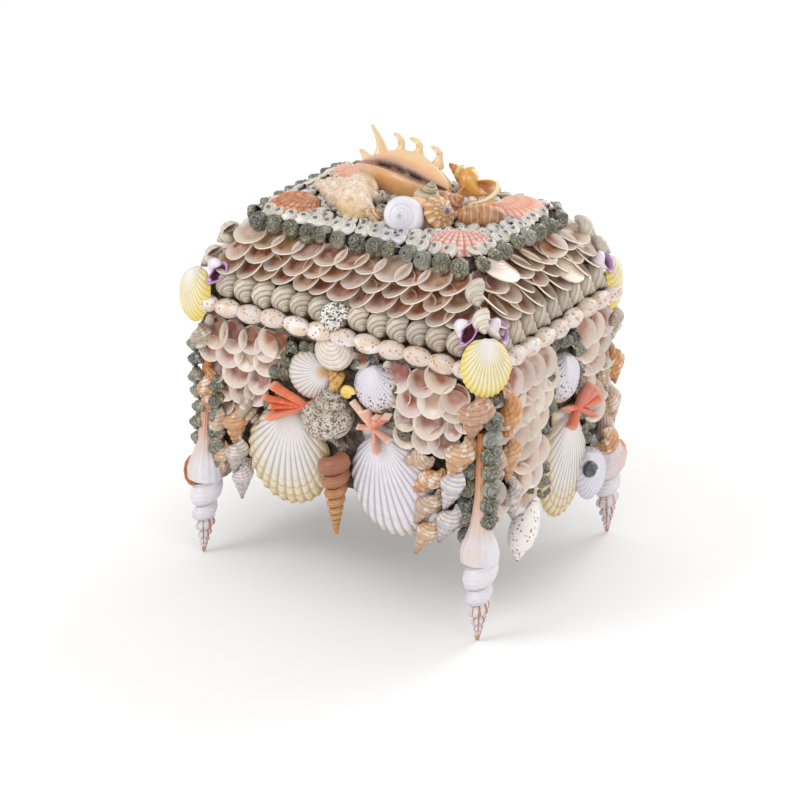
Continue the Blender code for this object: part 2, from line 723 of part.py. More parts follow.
def top_shells():
    """The other single shells on the lid's flat top.

    Each is (slot, start, end, stations, sides, knobs): its ends in steps, and its stations as
    (share of its length, radius in steps).
    """
    spots = {
        "rough_conch": ("pink_conch", (-78, -7, 11), (0, -29, 7),
                        ((0, 3), (0.14, 8), (0.3, 15), (0.42, 19), (0.66, 15), (0.86, 8), (1, 4)),
                        8, {2: 0.1, 3: 0.12, 4: 0.08}),
        "yellow_conch": ("orange_conch", (8, 49, 14), (53, 42, 11),
                         ((0, 4), (0.2, 11), (0.4, 10), (0.7, 9), (1, 4)), 8, {1: 0.1, 2: 0.12}),
        "moon_shell": ("moon_shell", (17, -34, 11.5), (24, -46, 16),
                       ((0, 8), (0.3, 12.5), (0.75, 9.5), (1, 3)), 10, {}),
        "ribbed_turban": ("orange_turban", (43, -14, 10), (49, -32, 13),
                          ((0, 6), (0.3, 12), (0.6, 10), (1, 2.5)), 10, {1: 0.08, 2: 0.1}),
        "striped_snail": ("cream_snail", (22, -8, 9), (27, -12, 28),
                          ((0, 5), (0.3, 9), (0.6, 7), (1, 1)), 8, {}),
        "brown_cask": ("brown_cask", (62, -8, 9), (78, 9, 9),
                       ((0, 5), (0.25, 9.5), (0.65, 9), (1, 3)), 8, {}),
    }
    for name, (slot, start, end, stations, sides, knobs) in spots.items():
        start, end = Vector(start) * STEP, Vector(end) * STEP
        length = (end - start).length
        shell = turned([(share * length, radius * STEP) for share, radius in stations], sides, knobs)
        shell.transform(aimed(start, end))
        for vert in shell.verts:
            vert.co.z = max(vert.co.z, 0)
        place(name, shell, slot, lid_top())


def main():
    clear_scene()
    box_body()
    lid()
    spindle_feet()
    turret_pendants()
    scallops()
    knobbly_turbans()
    wall_cockles()
    clam_clusters()
    whelk_groups()
    lid_rows()
    clam_band()
    corner_cockles()
    lid_fans()
    spider_conch()
    top_shells()


main()
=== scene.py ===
"""Looks of the shell box: every shell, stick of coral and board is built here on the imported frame.

Sizes named in steps are millimetres. Each wall, each slope of the lid and the lid's flat top has a
frame of its own, in which a place is given along it, up it and out of it.
"""

import logging
import random
from collections.abc import Callable, Iterable, Sequence
from dataclasses import dataclass, replace
from enum import Enum
from functools import cache
from math import atan2, cos, degrees, hypot, pi, radians, sin, sqrt

import bmesh
import bpy
from bmesh.types import BMVert
from mathutils import Matrix, Vector
from mathutils.geometry import interpolate_bezier


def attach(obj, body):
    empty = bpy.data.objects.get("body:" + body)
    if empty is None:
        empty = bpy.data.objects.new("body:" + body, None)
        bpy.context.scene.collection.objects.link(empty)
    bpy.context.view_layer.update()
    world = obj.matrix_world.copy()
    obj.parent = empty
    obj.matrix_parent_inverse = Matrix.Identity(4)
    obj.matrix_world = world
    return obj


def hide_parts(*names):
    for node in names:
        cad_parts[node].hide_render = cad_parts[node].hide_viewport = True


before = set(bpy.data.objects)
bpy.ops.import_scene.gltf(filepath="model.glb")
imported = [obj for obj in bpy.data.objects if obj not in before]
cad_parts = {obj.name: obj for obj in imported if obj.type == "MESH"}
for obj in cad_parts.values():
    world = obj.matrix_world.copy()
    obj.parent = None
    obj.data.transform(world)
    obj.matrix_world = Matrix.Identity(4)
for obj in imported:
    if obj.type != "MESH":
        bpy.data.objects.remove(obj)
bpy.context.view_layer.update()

LOG = logging.getLogger("shell_box")
MM = 0.001
CREASE = 62
COAT_ROUGHNESS = 0.15
SOOT = "3e332c"
CHALK = "fffaf2"

Colour = tuple[float, float, float, float]
Spot = Sequence[float]


def hue(code: str) -> Colour:
    """The linear colour of a six digit hexadecimal code.

    Args:
        code: Red, green and blue as two hexadecimal digits each.

    Returns:
        The colour with an alpha of one.
    """
    parts = [int(code[i : i + 2], 16) / 255 for i in (0, 2, 4)]
    red, green, blue = (part / 12.92 if part < 0.04 else ((part + 0.055) / 1.055) ** 2.4 for part in parts)
    return (red, green, blue, 1.0)


# Shader maths


class Tone:
    """A socket of a material, wrapped so that shader maths reads as Python."""

    def __init__(self, bench: "Bench", socket: bpy.types.NodeSocket) -> None:
        """Keeps the socket and the bench that adds nodes after it."""
        self.bench = bench
        self.socket = socket

    def __add__(self, other: "Tone | float") -> "Tone":
        """This plus another value."""
        return self.bench.maths("ADD", self, other)

    __radd__ = __add__

    def __mul__(self, other: "Tone | float") -> "Tone":
        """This times another value."""
        return self.bench.maths("MULTIPLY", self, other)

    __rmul__ = __mul__

    def __sub__(self, other: "Tone | float") -> "Tone":
        """This less another value."""
        return self.bench.maths("SUBTRACT", self, other)

    def __rsub__(self, other: float) -> "Tone":
        """Another value less this."""
        return self.bench.maths("SUBTRACT", other, self)

    def wave(self, count: float) -> "Tone":
        """A sine of this between -1 and 1, with this many waves in one unit."""
        return self.bench.maths("SINE", self * (2 * pi * count))

    def crest(self, count: float) -> "Tone":
        """A cosine of this between -1 and 1, with this many waves in one unit."""
        return self.bench.maths("COSINE", self * (2 * pi * count))

    def step(self, low: float, high: float) -> "Tone":
        """0 below low, 1 above high and smooth between."""
        return self.bench.fade(self, low, high)


Value = Tone | float | Colour


class Bench:
    """The node tree of one material, and short ways to add nodes to it."""

    def __init__(self, name: str) -> None:
        """Starts a material with its Principled shader.

        Args:
            name: The material's name.
        """
        self.material = bpy.data.materials.new(name)
        self.material.use_nodes = True
        self.tree = self.material.node_tree
        self.shader = self.tree.nodes["Principled BSDF"]

    def node(self, kind: str, settings: dict[str, object], sockets: dict[str | int, Value]) -> bpy.types.Node:
        """Adds a node.

        Args:
            kind: The node's type.
            settings: Its properties, set first; stops holds a ramp's positions and colours.
            sockets: The value or link of each named or numbered input.

        Returns:
            The new node.
        """
        made = self.tree.nodes.new(kind)
        for key, value in settings.items():
            if key == "stops":
                self._set_stops(made.color_ramp, value)
            else:
                setattr(made, key, value)
        for key, value in sockets.items():
            self.feed(made.inputs[key], value)
        return made

    def _set_stops(self, ramp: bpy.types.ColorRamp, stops: Sequence[tuple[float, Colour]]) -> None:
        """Gives a ramp its stops.

        Args:
            ramp: The ramp.
            stops: The place and colour of each stop.
        """
        while len(ramp.elements) < len(stops):
            ramp.elements.new(0.5)
        for element, (place, colour) in zip(ramp.elements, stops):
            element.position = place
            element.color = colour

    def feed(self, socket: bpy.types.NodeSocket, value: Value) -> None:
        """Links a tone to an input, or sets the input's own value.

        Args:
            socket: The input.
            value: What it gets.
        """
        if isinstance(value, Tone):
            self.tree.links.new(value.socket, socket)
        else:
            socket.default_value = value

    def tone(
        self, kind: str, output: str | int, settings: dict[str, object], sockets: dict[str | int, Value]
    ) -> Tone:
        """Adds a node as above and reads its named or numbered output."""
        return Tone(self, self.node(kind, settings, sockets).outputs[output])

    def maths(self, operation: str, *values: Tone | float) -> Tone:
        """The result of a Math node on these values."""
        return self.tone("ShaderNodeMath", 0, {"operation": operation}, dict(enumerate(values)))

    def fade(self, value: Tone, low: float, high: float) -> Tone:
        """0 where the value is below low, 1 above high and smooth between."""
        sockets = {"Value": value, "From Min": low, "From Max": high}
        return self.tone("ShaderNodeMapRange", "Result", {"interpolation_type": "SMOOTHSTEP"}, sockets)

    def blend(self, share: Tone | float, first: Value, second: Value) -> Tone:
        """The first colour turned into the second by a share."""
        return self.tone("ShaderNodeMix", 2, {"data_type": "RGBA"}, {0: share, 6: first, 7: second})

    def ramp(self, value: Tone, codes: Sequence[str], places: Sequence[float] = ()) -> Tone:
        """The colours of a ramp read at a value.

        Args:
            value: Where the ramp is read.
            codes: Its colours in order.
            places: The stop of each colour; evenly spread where left out.

        Returns:
            The colour.
        """
        spread = places or [i / max(1, len(codes) - 1) for i in range(len(codes))]
        stops = [(place, hue(code)) for place, code in zip(spread, codes)]
        return self.tone("ShaderNodeValToRGB", "Color", {"stops": stops}, {"Fac": value})

    def where(self) -> Tone:
        """Object coordinates."""
        return self.tone("ShaderNodeTexCoord", "Object", {}, {})

    def noise(self, size: float, detail: float = 2.0) -> Tone:
        """Noise on object coordinates whose blotches are about this long."""
        sockets = {"Vector": self.where(), "Scale": 1 / size, "Detail": detail}
        return self.tone("ShaderNodeTexNoise", "Fac", {}, sockets)

    def cells(self, size: float) -> Tone:
        """The distance to the nearest of scattered points about this far apart."""
        return self.tone("ShaderNodeTexVoronoi", "Distance", {}, {"Vector": self.where(), "Scale": 1 / size})

    def growth(self) -> tuple[Tone, Tone]:
        """Where on the shell a point lies.

        Returns:
            How far round and how far along its growth.
        """
        where = self.tone("ShaderNodeUVMap", "UV", {"uv_map": Growth.MAP}, {})
        parts = self.node("ShaderNodeSeparateXYZ", {}, {"Vector": where})
        return Tone(self, parts.outputs["X"]), Tone(self, parts.outputs["Y"])

    def tint(self) -> Tone:
        """The number from 0 to 1 that each single shell was given."""
        return self.tone("ShaderNodeAttribute", "Fac", {"attribute_name": Growth.TINT}, {})

    def dress(self, colour: Value, roughness: Value, relief: Tone, depth: float, coat: float = 0.0) -> None:
        """Feeds the shader.

        Args:
            colour: The base colour.
            roughness: The roughness.
            relief: The height of the bump.
            depth: The bump's depth in metres.
            coat: The weight of a clear glossy coat.
        """
        self.feed(self.shader.inputs["Base Color"], colour)
        self.feed(self.shader.inputs["Roughness"], roughness)
        bump = self.tone("ShaderNodeBump", "Normal", {}, {"Height": relief, "Distance": depth})
        self.feed(self.shader.inputs["Normal"], bump)
        self.shader.inputs["Coat Weight"].default_value = coat
        self.shader.inputs["Coat Roughness"].default_value = COAT_ROUGHNESS


class Mark(Enum):
    """What is drawn on a shell over its ground colour."""

    NONE = "none"
    LINES = "lines that follow the coil, or rays of a fan"
    BANDS = "bands across the growth"
    SPECKS = "scattered specks"
    SPOTS = "scattered round spots"
    STREAKS = "wavy streaks"


@dataclass(frozen=True)
class Finish:
    """What every finish has: a name, a material slot, and a way to be made once.

    Attributes:
        name: The material's name.
        slot: The material slot that it stands for; not used.
    """

    name: str
    slot: str = ""

    @cache
    def make(self) -> bpy.types.Material:
        """Makes the material, once.

        Returns:
            The material.
        """
        bench = Bench(self.name)
        self.dress(bench)
        return bench.material

    def dress(self, bench: Bench) -> None:
        """Adds the finish's nodes."""
        raise NotImplementedError


@dataclass(frozen=True)
class ShellFinish(Finish):
    """The looks of one kind of shell.

    Attributes:
        ground: Ground colours, read at each shell's tint.
        mark, mark_colour, strength: What is drawn over the ground, its colour and its weight.
        counts: Waves of the mark round the shell and along it.
        cut: Where the mark begins to show and where it is full.
        speck: Size of specks and spots, in steps.
        marked: The stretch of the growth that carries the mark.
        edge, edge_share: The colour of the rim or mouth, and how much of the growth it takes.
        tip, tip_from, tip_fade: The colour of the beak or apex, where it begins and how long it fades.
        patch, patch_size, patch_cut: The colour of blotches, their size in steps and their cut.
        groove_shade: The colour of painted shade between the ribs.
        seam, seam_shade_colour: The weight and colour of painted shade in the crease where one whorl meets
            the next.
        inside, deep, stain: The hollow side's colours at its rim and middle, the darker middle partly painted
            shade, and of its blotches.
        shade: The weight of clouds of darker and paler ground.
        ribs: Bump ribs round the shell.
        folds, fold_weight: Bump ribs along it and their weight.
        depth, grain: Depth of the bump in steps and the weight of its fine noise.
        roughness, coat: The shell's roughness and the weight of its clear coat.
    """

    ground: tuple[str, ...] = ("d9cdbf",)
    mark: Mark = Mark.NONE
    mark_colour: str = "6b4a35"
    counts: Spot = (6.0, 12.0)
    cut: Spot = (0.2, 0.6)
    strength: float = 0.8
    speck: float = 1.6
    marked: Spot = (-0.1, 1.1)
    edge: str = ""
    edge_share: float = 0.1
    tip: str = ""
    tip_from: float = 0.6
    tip_fade: float = 0.2
    patch: str = ""
    patch_size: float = 6.0
    patch_cut: Spot = (0.5, 0.62)
    groove_shade: str = ""
    seam_shade: float = 0.0
    seam_shade_colour: str = "5a4a3e"
    inside: tuple[str, ...] = ("c9b8ae",)
    deep: tuple[str, ...] = ("8a6a5c",)
    stain: str = ""
    shade: float = 0.15
    ribs: float = 0.0
    folds: float = 14.0
    fold_weight: float = 0.3
    depth: float = 0.3
    grain: float = 0.5
    roughness: float = 0.38
    coat: float = 0.2

    def dress(self, bench: Bench) -> None:
        """Adds the finish's nodes.

        Args:
            bench: The material's bench.
        """
        round_it, along = bench.growth()
        tint = bench.tint()
        base: Value = bench.ramp(tint, self.ground) if len(self.ground) > 1 else hue(self.ground[0])
        cloud = bench.noise(5 * MM, 3)
        base = bench.blend(cloud.step(0.4, 0.75) * self.shade, base, hue(SOOT))
        base = bench.blend((1 - cloud).step(0.45, 0.75) * self.shade, base, hue(CHALK))
        if self.patch:
            blotch = (bench.noise(self.patch_size * MM, 2) + tint.wave(7.3) * 0.04).step(*self.patch_cut)
            base = bench.blend(blotch * along.step(-0.05, 0.0), base, hue(self.patch))
        if self.edge:
            base = bench.blend(1 - along.step(0.0, self.edge_share), base, hue(self.edge))
        if self.mark is not Mark.NONE:
            low, high = self.marked
            kept = along.step(low - 0.05, low + 0.05) * (1 - along.step(high - 0.05, high + 0.05))
            drawn = self._drawn(bench, round_it, along) * kept * self.strength
            base = bench.blend(drawn, base, hue(self.mark_colour))
        if self.tip:
            base = bench.blend(along.step(self.tip_from, self.tip_from + self.tip_fade), base, hue(self.tip))
        # Painted shade between the ribs, strongest at the rim or mouth and fading out towards the beak or
        # apex.
        if self.groove_shade:
            valley_shade = (round_it.crest(self.ribs) * -1).step(0.1, 1.0) * (1 - along.step(0.4, 0.9))
            base = bench.blend(valley_shade * 0.75, base, hue(self.groove_shade))
        # Painted shade: darkens the crease where each whorl turns in under the one before.
        if self.seam_shade:
            seam_shadow = (1 - round_it.crest(1).step(0.1, 0.8)) * along.step(0.03, 0.1)
            base = bench.blend(seam_shadow * self.seam_shade, base, hue(self.seam_shade_colour))
        base = bench.blend(1 - along.step(-0.07, -0.03), base, self._inside(bench, along, tint))
        lines = along.wave(self.folds) * along.step(-0.02, 0.02) * self.fold_weight
        lines = lines + bench.noise(0.8 * MM, 2) * self.grain
        relief = lines
        if self.ribs:
            relief = lines + round_it.crest(self.ribs) * (1 - along.step(0.4, 0.88)) * 0.5
        bench.dress(base, cloud * 0.16 + (self.roughness - 0.08), relief, self.depth * MM, self.coat)

    def _inside(self, bench: Bench, along: Tone, tint: Tone) -> Value:
        """The colour of the hollow side: its own colour, darkened towards its middle partly as painted shade.

        Args:
            bench: The material's bench.
            along: How far along the growth a point lies.
            tint: The shell's own number.

        Returns:
            The colour.
        """
        # Partly painted shade: the hollow side darkens from its rim towards its middle, and deep into the
        # throat of a coil.
        depth = (along * -1).step(0.05, 0.46)
        if len(self.inside) == 1:
            return bench.blend(depth, hue(self.inside[0]), hue(self.deep[0]))
        pale, dark = bench.ramp(tint, self.inside), bench.ramp(tint.wave(2.3) * 0.5 + 0.5, self.deep)
        cloudy = bench.blend(depth * (bench.noise(7 * MM, 1) * 0.9 + 0.45), pale, dark)
        if not self.stain:
            return cloudy
        spot = (bench.noise(9 * MM, 1) + tint.wave(5.1) * 0.1).step(0.5, 0.66)
        return bench.blend(spot * (along * -1).step(0.12, 0.46) * 0.8, cloudy, hue(self.stain))

    def _drawn(self, bench: Bench, round_it: Tone, along: Tone) -> Tone:
        """Where the mark shows.

        Args:
            bench: The material's bench.
            round_it: How far round the shell a point lies.
            along: How far along its growth.

        Returns:
            A weight from 0 to 1.
        """
        around, lengthwise = self.counts
        if self.mark is Mark.LINES:
            drawn = round_it.wave(around) + bench.noise(4 * MM) * 0.8 - 0.4
        elif self.mark is Mark.BANDS:
            drawn = along.wave(lengthwise) + bench.noise(6 * MM) * 1.2 - 0.6
        elif self.mark is Mark.SPECKS:
            drawn = bench.noise(self.speck * MM, 2)
        elif self.mark is Mark.SPOTS:
            drawn = 1 - bench.cells(self.speck * MM)
        else:
            drawn = (along + bench.noise(6 * MM, 2) * 0.1).wave(lengthwise)
        return drawn.step(*self.cut)


@dataclass(frozen=True)
class BoardFinish(Finish):
    """Dark varnished board with old cement that shows between the shells.

    Attributes:
        board: The board's colour.
        cement: The cement's colour.
    """

    board: str = "42342a"
    cement: str = "7d6f60"

    def dress(self, bench: Bench) -> None:
        """Adds the finish's nodes.

        Args:
            bench: The material's bench.
        """
        lumps = bench.noise(4 * MM, 4)
        colour = bench.blend(lumps.step(0.4, 0.65), hue(self.board), hue(self.cement))
        bench.dress(colour, lumps * 0.3 + 0.5, lumps + bench.noise(1 * MM, 2) * 0.4, 0.9 * MM)


@dataclass(frozen=True)
class CoralFinish(Finish):
    """Sticks of coral: a coloured skin, paler at the broken ends, with fine pores.

    Attributes:
        skin: Colours of the skin, read at each stick's tint.
        core: The colour of the broken ends.
    """

    skin: tuple[str, ...] = ("d5532f", "e2744b", "e8957a")
    core: str = "f0b998"

    def dress(self, bench: Bench) -> None:
        """Adds the finish's nodes.

        Args:
            bench: The material's bench.
        """
        along = bench.growth()[1]
        body = bench.ramp(bench.tint(), self.skin)
        mottled = bench.blend(bench.noise(3 * MM, 3).step(0.5, 0.75) * 0.4, body, hue(self.core))
        colour = bench.blend(along.step(0.84, 0.97) * 0.7, mottled, hue(self.core))
        pores = bench.cells(0.7 * MM)
        bench.dress(colour, pores * 0.2 + 0.45, pores, 0.2 * MM)


@dataclass(frozen=True)
class ConchFinish(Finish):
    """The spider conch: its colours follow its cross-section, with ridges on both sides of the slit.

    Attributes:
        colours: Colours round the cross-section, from under it round the front.
        places: The stop of each colour.
        ridges: Number of ridges along the slit.
    """

    # The near-black stop at 0.4 is painted shade at the bottom of the slit; the purple-browns beside it are
    # the lip's own colour.
    colours: tuple[str, ...] = (
        "efd49a", "ecc688", "e6b070", "dba274", "80544f", "24140f",
        "5c3c40", "8f6058", "d3a07c", "eec08c", "ecd0a6", "c8966a", "d6b086",
    )
    places: tuple[float, ...] = (0.0, 0.1, 0.2, 0.3, 0.34, 0.4, 0.43, 0.46, 0.5, 0.56, 0.68, 0.86, 1.0)
    ridges: int = 52

    def dress(self, bench: Bench) -> None:
        """Adds the finish's nodes.

        Args:
            bench: The material's bench.
        """
        round_it, along = bench.growth()
        base = bench.ramp(round_it, self.colours, self.places)
        near_slit = round_it.step(0.26, 0.31) * (1 - round_it.step(0.35, 0.38))
        near_lip = round_it.step(0.42, 0.44) * (1 - round_it.step(0.48, 0.53))
        inner = along.step(0.22, 0.3) * (1 - along.step(0.9, 0.96))
        ridge = along.wave(self.ridges).step(0.3, 0.9) * (near_slit + near_lip * 0.5) * inner
        cloud = bench.noise(8 * MM, 3)
        base = bench.blend(cloud.step(0.5, 0.75) * 0.35, base, hue("f3d9a4"))
        base = bench.blend(ridge * 0.8, base, hue("f4e3d2"))
        base = bench.blend((1 - along.step(0.1, 0.34)) * 0.7, base, hue("e2b5a2"))
        base = bench.blend(bench.noise(11 * MM, 2).step(0.5, 0.7) * 0.35, base, hue("e8a985"))
        relief = cloud * 0.8 + along.wave(self.ridges) * (near_slit + near_lip) * 0.4
        bench.dress(base, cloud * 0.15 + 0.22, relief, 0.5 * MM, 0.5)


# Shapes


class Growth:
    """A mesh that grows ring by ring and knows where on the shell each corner lies."""

    MAP = "growth"
    TINT = "tint"
    ALONG = "along"
    ROUND = "round"

    def __init__(self, sides: int) -> None:
        """Starts with one ring of radius one in the XY plane.

        Args:
            sides: Corners of a ring.
        """
        self.bm = bmesh.new()
        self.sides = sides
        self.span = sides
        for layer in (self.TINT, self.ALONG, self.ROUND):
            self.bm.verts.layers.float.new(layer)
        self.uv = self.bm.loops.layers.uv.new(self.MAP)
        self.along = self.bm.verts.layers.float[self.ALONG]
        self.round = self.bm.verts.layers.float[self.ROUND]
        self.ring: list[BMVert] = list(bmesh.ops.create_circle(self.bm, segments=sides, radius=1.0)["verts"])
        self.first = self.ring
        for i, vert in enumerate(self.ring):
            vert[self.round] = i

    def shape(self, places: Iterable[Vector]) -> None:
        """Moves the corners of the newest ring."""
        for vert, place in zip(self.ring, places):
            vert.co = place

    def step(self, along: float) -> None:
        """Extrudes the newest ring.

        Args:
            along: How far along the growth the new ring lies.
        """
        ring = self.ring
        edges = [self.bm.edges.get(pair) for pair in zip(ring, ring[1:] + ring[:1])]
        made = bmesh.ops.extrude_edge_only(self.bm, edges=edges)["geom"]
        fresh = {item for item in made if isinstance(item, BMVert)}
        self.ring = []
        for corner in ring:
            partner = next(e.other_vert(corner) for e in corner.link_edges if e.other_vert(corner) in fresh)
            self.ring.append(partner)
            partner[self.along] = along
            partner[self.round] = corner[self.round]

    def shrink(self, along: float, share: float, shift: Spot = (0, 0, 0)) -> None:
        """Steps to a ring that is scaled about its own middle and shifted.

        Args:
            along: How far along the growth the new ring lies.
            share: Its size against the last ring.
            shift: Its shift.
        """
        middle = sum((vert.co for vert in self.ring), Vector()) / self.sides
        self.step(along)
        back = Matrix.Scale(share, 4) @ Matrix.Translation(-middle)
        place = Matrix.Translation(middle + Vector(shift)) @ back
        bmesh.ops.transform(self.bm, matrix=place, verts=self.ring)

    def close(self) -> None:
        """Fills the newest ring."""
        self.bm.faces.new(self.ring)

    def back_to_start(self) -> None:
        """Goes on from the first ring."""
        self.ring = self.first

    def tube(self, rings: Iterable[tuple[float, Iterable[Vector]]]) -> None:
        """Grows a closed tube.

        Args:
            rings: How far along the growth each ring lies, and its corners.
        """
        for i, (along, corners) in enumerate(rings):
            if i:
                self.step(along)
            self.shape(corners)
        for ring in (self.ring, self.first):
            self.bm.faces.new(ring)

    def finish(self, name: str) -> bpy.types.Mesh:
        """Turns the faces outwards and returns the mesh with its map of growth.

        Args:
            name: The mesh's name.

        Returns:
            The mesh.
        """
        bmesh.ops.recalc_face_normals(self.bm, faces=self.bm.faces)
        for face in self.bm.faces:
            spots = [loop.vert[self.round] for loop in face.loops]
            wraps = max(spots) - min(spots) > self.sides / 2
            for loop, spot in zip(face.loops, spots):
                turn = spot + self.sides if wraps and spot < self.sides / 2 else spot
                loop[self.uv].uv = (turn / self.span, loop.vert[self.along])
        mesh = bpy.data.meshes.new(name)
        self.bm.to_mesh(mesh)
        self.bm.free()
        return mesh


@dataclass(frozen=True)
class Coil:
    """The growth law of a coiled shell.

    Its mouth ring turns about the axis, shrinks and climbs towards the apex. The mesh is one unit
    long, from its wide end at the origin to its apex on +Z, and one unit across.

    Attributes:
        whorls: Number of turns.
        steps: Rings in a turn.
        sides: Corners of a ring.
        widen: Growth in one turn.
        wide: Half width of the mouth ring against its distance from the axis.
        tall: Half height of the mouth ring against the same.
        overlap: Share of a whorl's height that shows.
        knobs, knob_every: Push of the shoulder at each knob, and rings from knob to knob.
        knob_from: Share of the growth where they begin.
        canal: Pull on the mouth's lowest corners.
        flare: Growth of the mouth's lip.
        along_from: How far along the growth the shell counts as being behind its lip.
    """

    THROAT = ((-0.03, 0.86, (0, 0, 0)), (-0.3, 0.82, (-0.1, 0.35, 0.05)), (-0.8, 0.6, (-0.25, 0.35, 0.1)))

    whorls: float = 4.0
    steps: int = 12
    sides: int = 9
    widen: float = 1.6
    wide: float = 1.0
    tall: float = 0.9
    overlap: float = 0.85
    knobs: float = 0.0
    knob_every: int = 2
    knob_from: float = 0.0
    canal: float = 0.0
    flare: float = 0.0
    along_from: float = 0.0

    @cache
    def mesh(self) -> bpy.types.Mesh:
        """Makes the shell's mesh, once.

        Returns:
            The mesh.
        """
        growth = Growth(self.sides)
        fall = self.overlap * self.tall * (self.widen + 1) / (self.widen - 1)
        ring = [self._corner(i, fall) for i in range(self.sides)]
        middle = Vector((1, 0, -fall))
        growth.shape(middle + (corner - middle) * (1 + self.flare) for corner in ring)
        turn = Matrix.Rotation(2 * pi / self.steps, 4, "Z") @ Matrix.Scale(self.widen ** (-1 / self.steps), 4)
        count = round(self.whorls * self.steps)
        for step in range(1, count + 1):
            ring = [turn @ corner for corner in ring]
            growth.step(self.along_from + (1 - self.along_from) * step / count)
            knobbed = step % self.knob_every == 0 and step / count >= self.knob_from
            growth.shape(self._pushed(ring, self.knobs if knobbed else 0.0))
        growth.close()
        growth.back_to_start()
        for along, share, shift in self.THROAT:
            growth.shrink(along, share, shift)
        growth.close()
        reach = max(hypot(vert.co.x, vert.co.y) for vert in growth.bm.verts)
        levels = [vert.co.z for vert in growth.bm.verts]
        size = Matrix.Diagonal((0.5 / reach, 0.5 / reach, 1 / (max(levels) - min(levels)), 1))
        growth.bm.transform(size @ Matrix.Translation((0, 0, -min(levels))))
        return growth.finish("coil")

    def _corner(self, i: int, fall: float) -> Vector:
        """A corner of the mouth ring.

        Args:
            i: Its number.
            fall: How far below the axis' zero the ring's middle lies.

        Returns:
            Its place.
        """
        angle = 2 * pi * i / self.sides
        low = max(0.0, -sin(angle)) ** 2 * (self.canal > 0)
        out = 1 + self.wide * cos(angle) - 0.7 * low
        return Vector((out, 0, -fall + self.tall * sin(angle) - self.canal * low))

    def _pushed(self, ring: Sequence[Vector], push: float) -> list[Vector]:
        """The corners of a ring with its shoulder pushed out, against their distance from the axis."""
        pushes = [push * max(0.0, cos(2 * pi * i / self.sides - 0.6)) ** 2 for i in range(self.sides)]
        return [corner + Vector((corner.x, corner.y, 0)) * part for corner, part in zip(ring, pushes)]


@dataclass(frozen=True)
class Valve:
    """The growth law of half a bivalve.

    The mesh has its beak at the origin and spreads one unit down and one unit across; its domed
    side stands one unit out along -Y.

    Attributes:
        corners: Corners of the rim.
        rings: Steps from the rim to the beak.
        ribs: Number of ribs; relief is their height against the dome, notch their depth in the rim.
        spread: Half angle of the fan, in radians.
        hollow: Whether its inside is open.
        ears: Reach of the wings beside the beak.
        bands: Growth bands that stand up as ridges.
        lip: Thickness of the rim against the dome.
    """

    BEAK = Vector((0, 0, -0.05))
    BOWL = ((0.9, -0.08), (0.62, -0.4), (0.26, -0.8))

    corners: int = 24
    rings: int = 6
    ribs: int = 0
    relief: float = 0.0
    notch: float = 0.0
    spread: float = radians(80)
    hollow: bool = False
    ears: float = 0.0
    bands: int = 0
    lip: float = 0.07

    @cache
    def mesh(self) -> bpy.types.Mesh:
        """Makes the valve's mesh, once.

        Returns:
            The mesh.
        """
        growth = Growth(self.corners)
        growth.span = self.corners - 1
        rim = [self._rim(i) for i in range(self.corners)]
        growth.shape(rim)
        for course in range(self.rings + 1):
            share = 1 - course / (self.rings + 0.6)
            growth.step(1 - share)
            growth.shape(self._ring(rim, share, False))
        growth.close()
        growth.back_to_start()
        if self.hollow:
            for share, along in self.BOWL:
                growth.step(along)
                growth.shape(self._ring(rim, share, True))
        else:
            growth.shrink(-0.2, 0.97)
        growth.close()
        self._fit(growth)
        return growth.finish("valve")

    def _turn(self, i: int) -> float:
        """Where a corner lies round the rim, from -1 to 1."""
        return 2 * i / (self.corners - 1) - 1

    def _rib(self, i: int) -> float:
        """The rise of the ribs at a corner, from -1 to 1."""
        return cos(pi * self.ribs * self._turn(i)) if self.ribs else 0.0

    def _rim(self, i: int) -> Vector:
        """A corner of the rim: a round fan, with straight wings beside the beak where it has ears.

        Args:
            i: Its number.

        Returns:
            Its place.
        """
        turn = self._turn(i)
        fan = 0.93 if self.ears else 1.0
        angle = self.spread * max(-1.0, min(1.0, turn / fan))
        middle = 1 / (1 + sin(self.spread))
        radius = 1 - middle
        reach = middle * cos(angle) + sqrt(max(0.0, radius**2 - (middle * sin(angle)) ** 2))
        reach *= 1 + self.notch * self._rib(i)
        corner = Vector((reach * sin(angle), 0, -reach * cos(angle)))
        if abs(turn) <= fan:
            return corner
        share = (abs(turn) - fan) / (1 - fan)
        wing = Vector((self.ears * (1 if turn > 0 else -1), 0, -0.16 * (1 - share)))
        return corner.lerp(wing, min(1.0, 2.2 * share))

    def _dome(self, share: float, turn: float) -> float:
        """The dome's height at a share of the way out from the beak, before the ribs."""
        crown = sqrt(max(0.0, 1 - share**2.4)) * (0.55 + 0.45 * min(1.0, share / 0.4))
        return crown * (1 - 0.8 * abs(turn) ** 5)

    def _ring(self, rim: Sequence[Vector], share: float, inner: bool) -> list[Vector]:
        """The corners of a ring.

        Args:
            rim: The rim's corners.
            share: The ring's share of the way out from the beak.
            inner: Whether it lies on the hollow side.

        Returns:
            The ring's corners.
        """
        places = []
        for i, corner in enumerate(rim):
            flat = self.BEAK + (corner - self.BEAK) * share
            if inner:
                rise = 0.82 * self._dome(min(1.0, share + 0.05), self._turn(i))
                flat.z -= 0.06 * (1 - share)
            else:
                rise = self.lip + self._dome(share, self._turn(i)) + self.relief * self._rib(i) * share
                rise += 0.08 * ((share * self.bands + 0.5) % 1.0)
            places.append(Vector((flat.x, -rise, flat.z)))
        return places

    def _fit(self, growth: Growth) -> None:
        """Brings the mesh to one unit each way.

        Args:
            growth: The mesh.
        """
        lows = [min(vert.co[i] for vert in growth.bm.verts) for i in range(3)]
        highs = [max(vert.co[i] for vert in growth.bm.verts) for i in range(3)]
        wide, deep, tall = (high - low for low, high in zip(lows, highs))
        growth.bm.transform(Matrix.Diagonal((1 / wide, 1 / deep, 1 / tall, 1)))


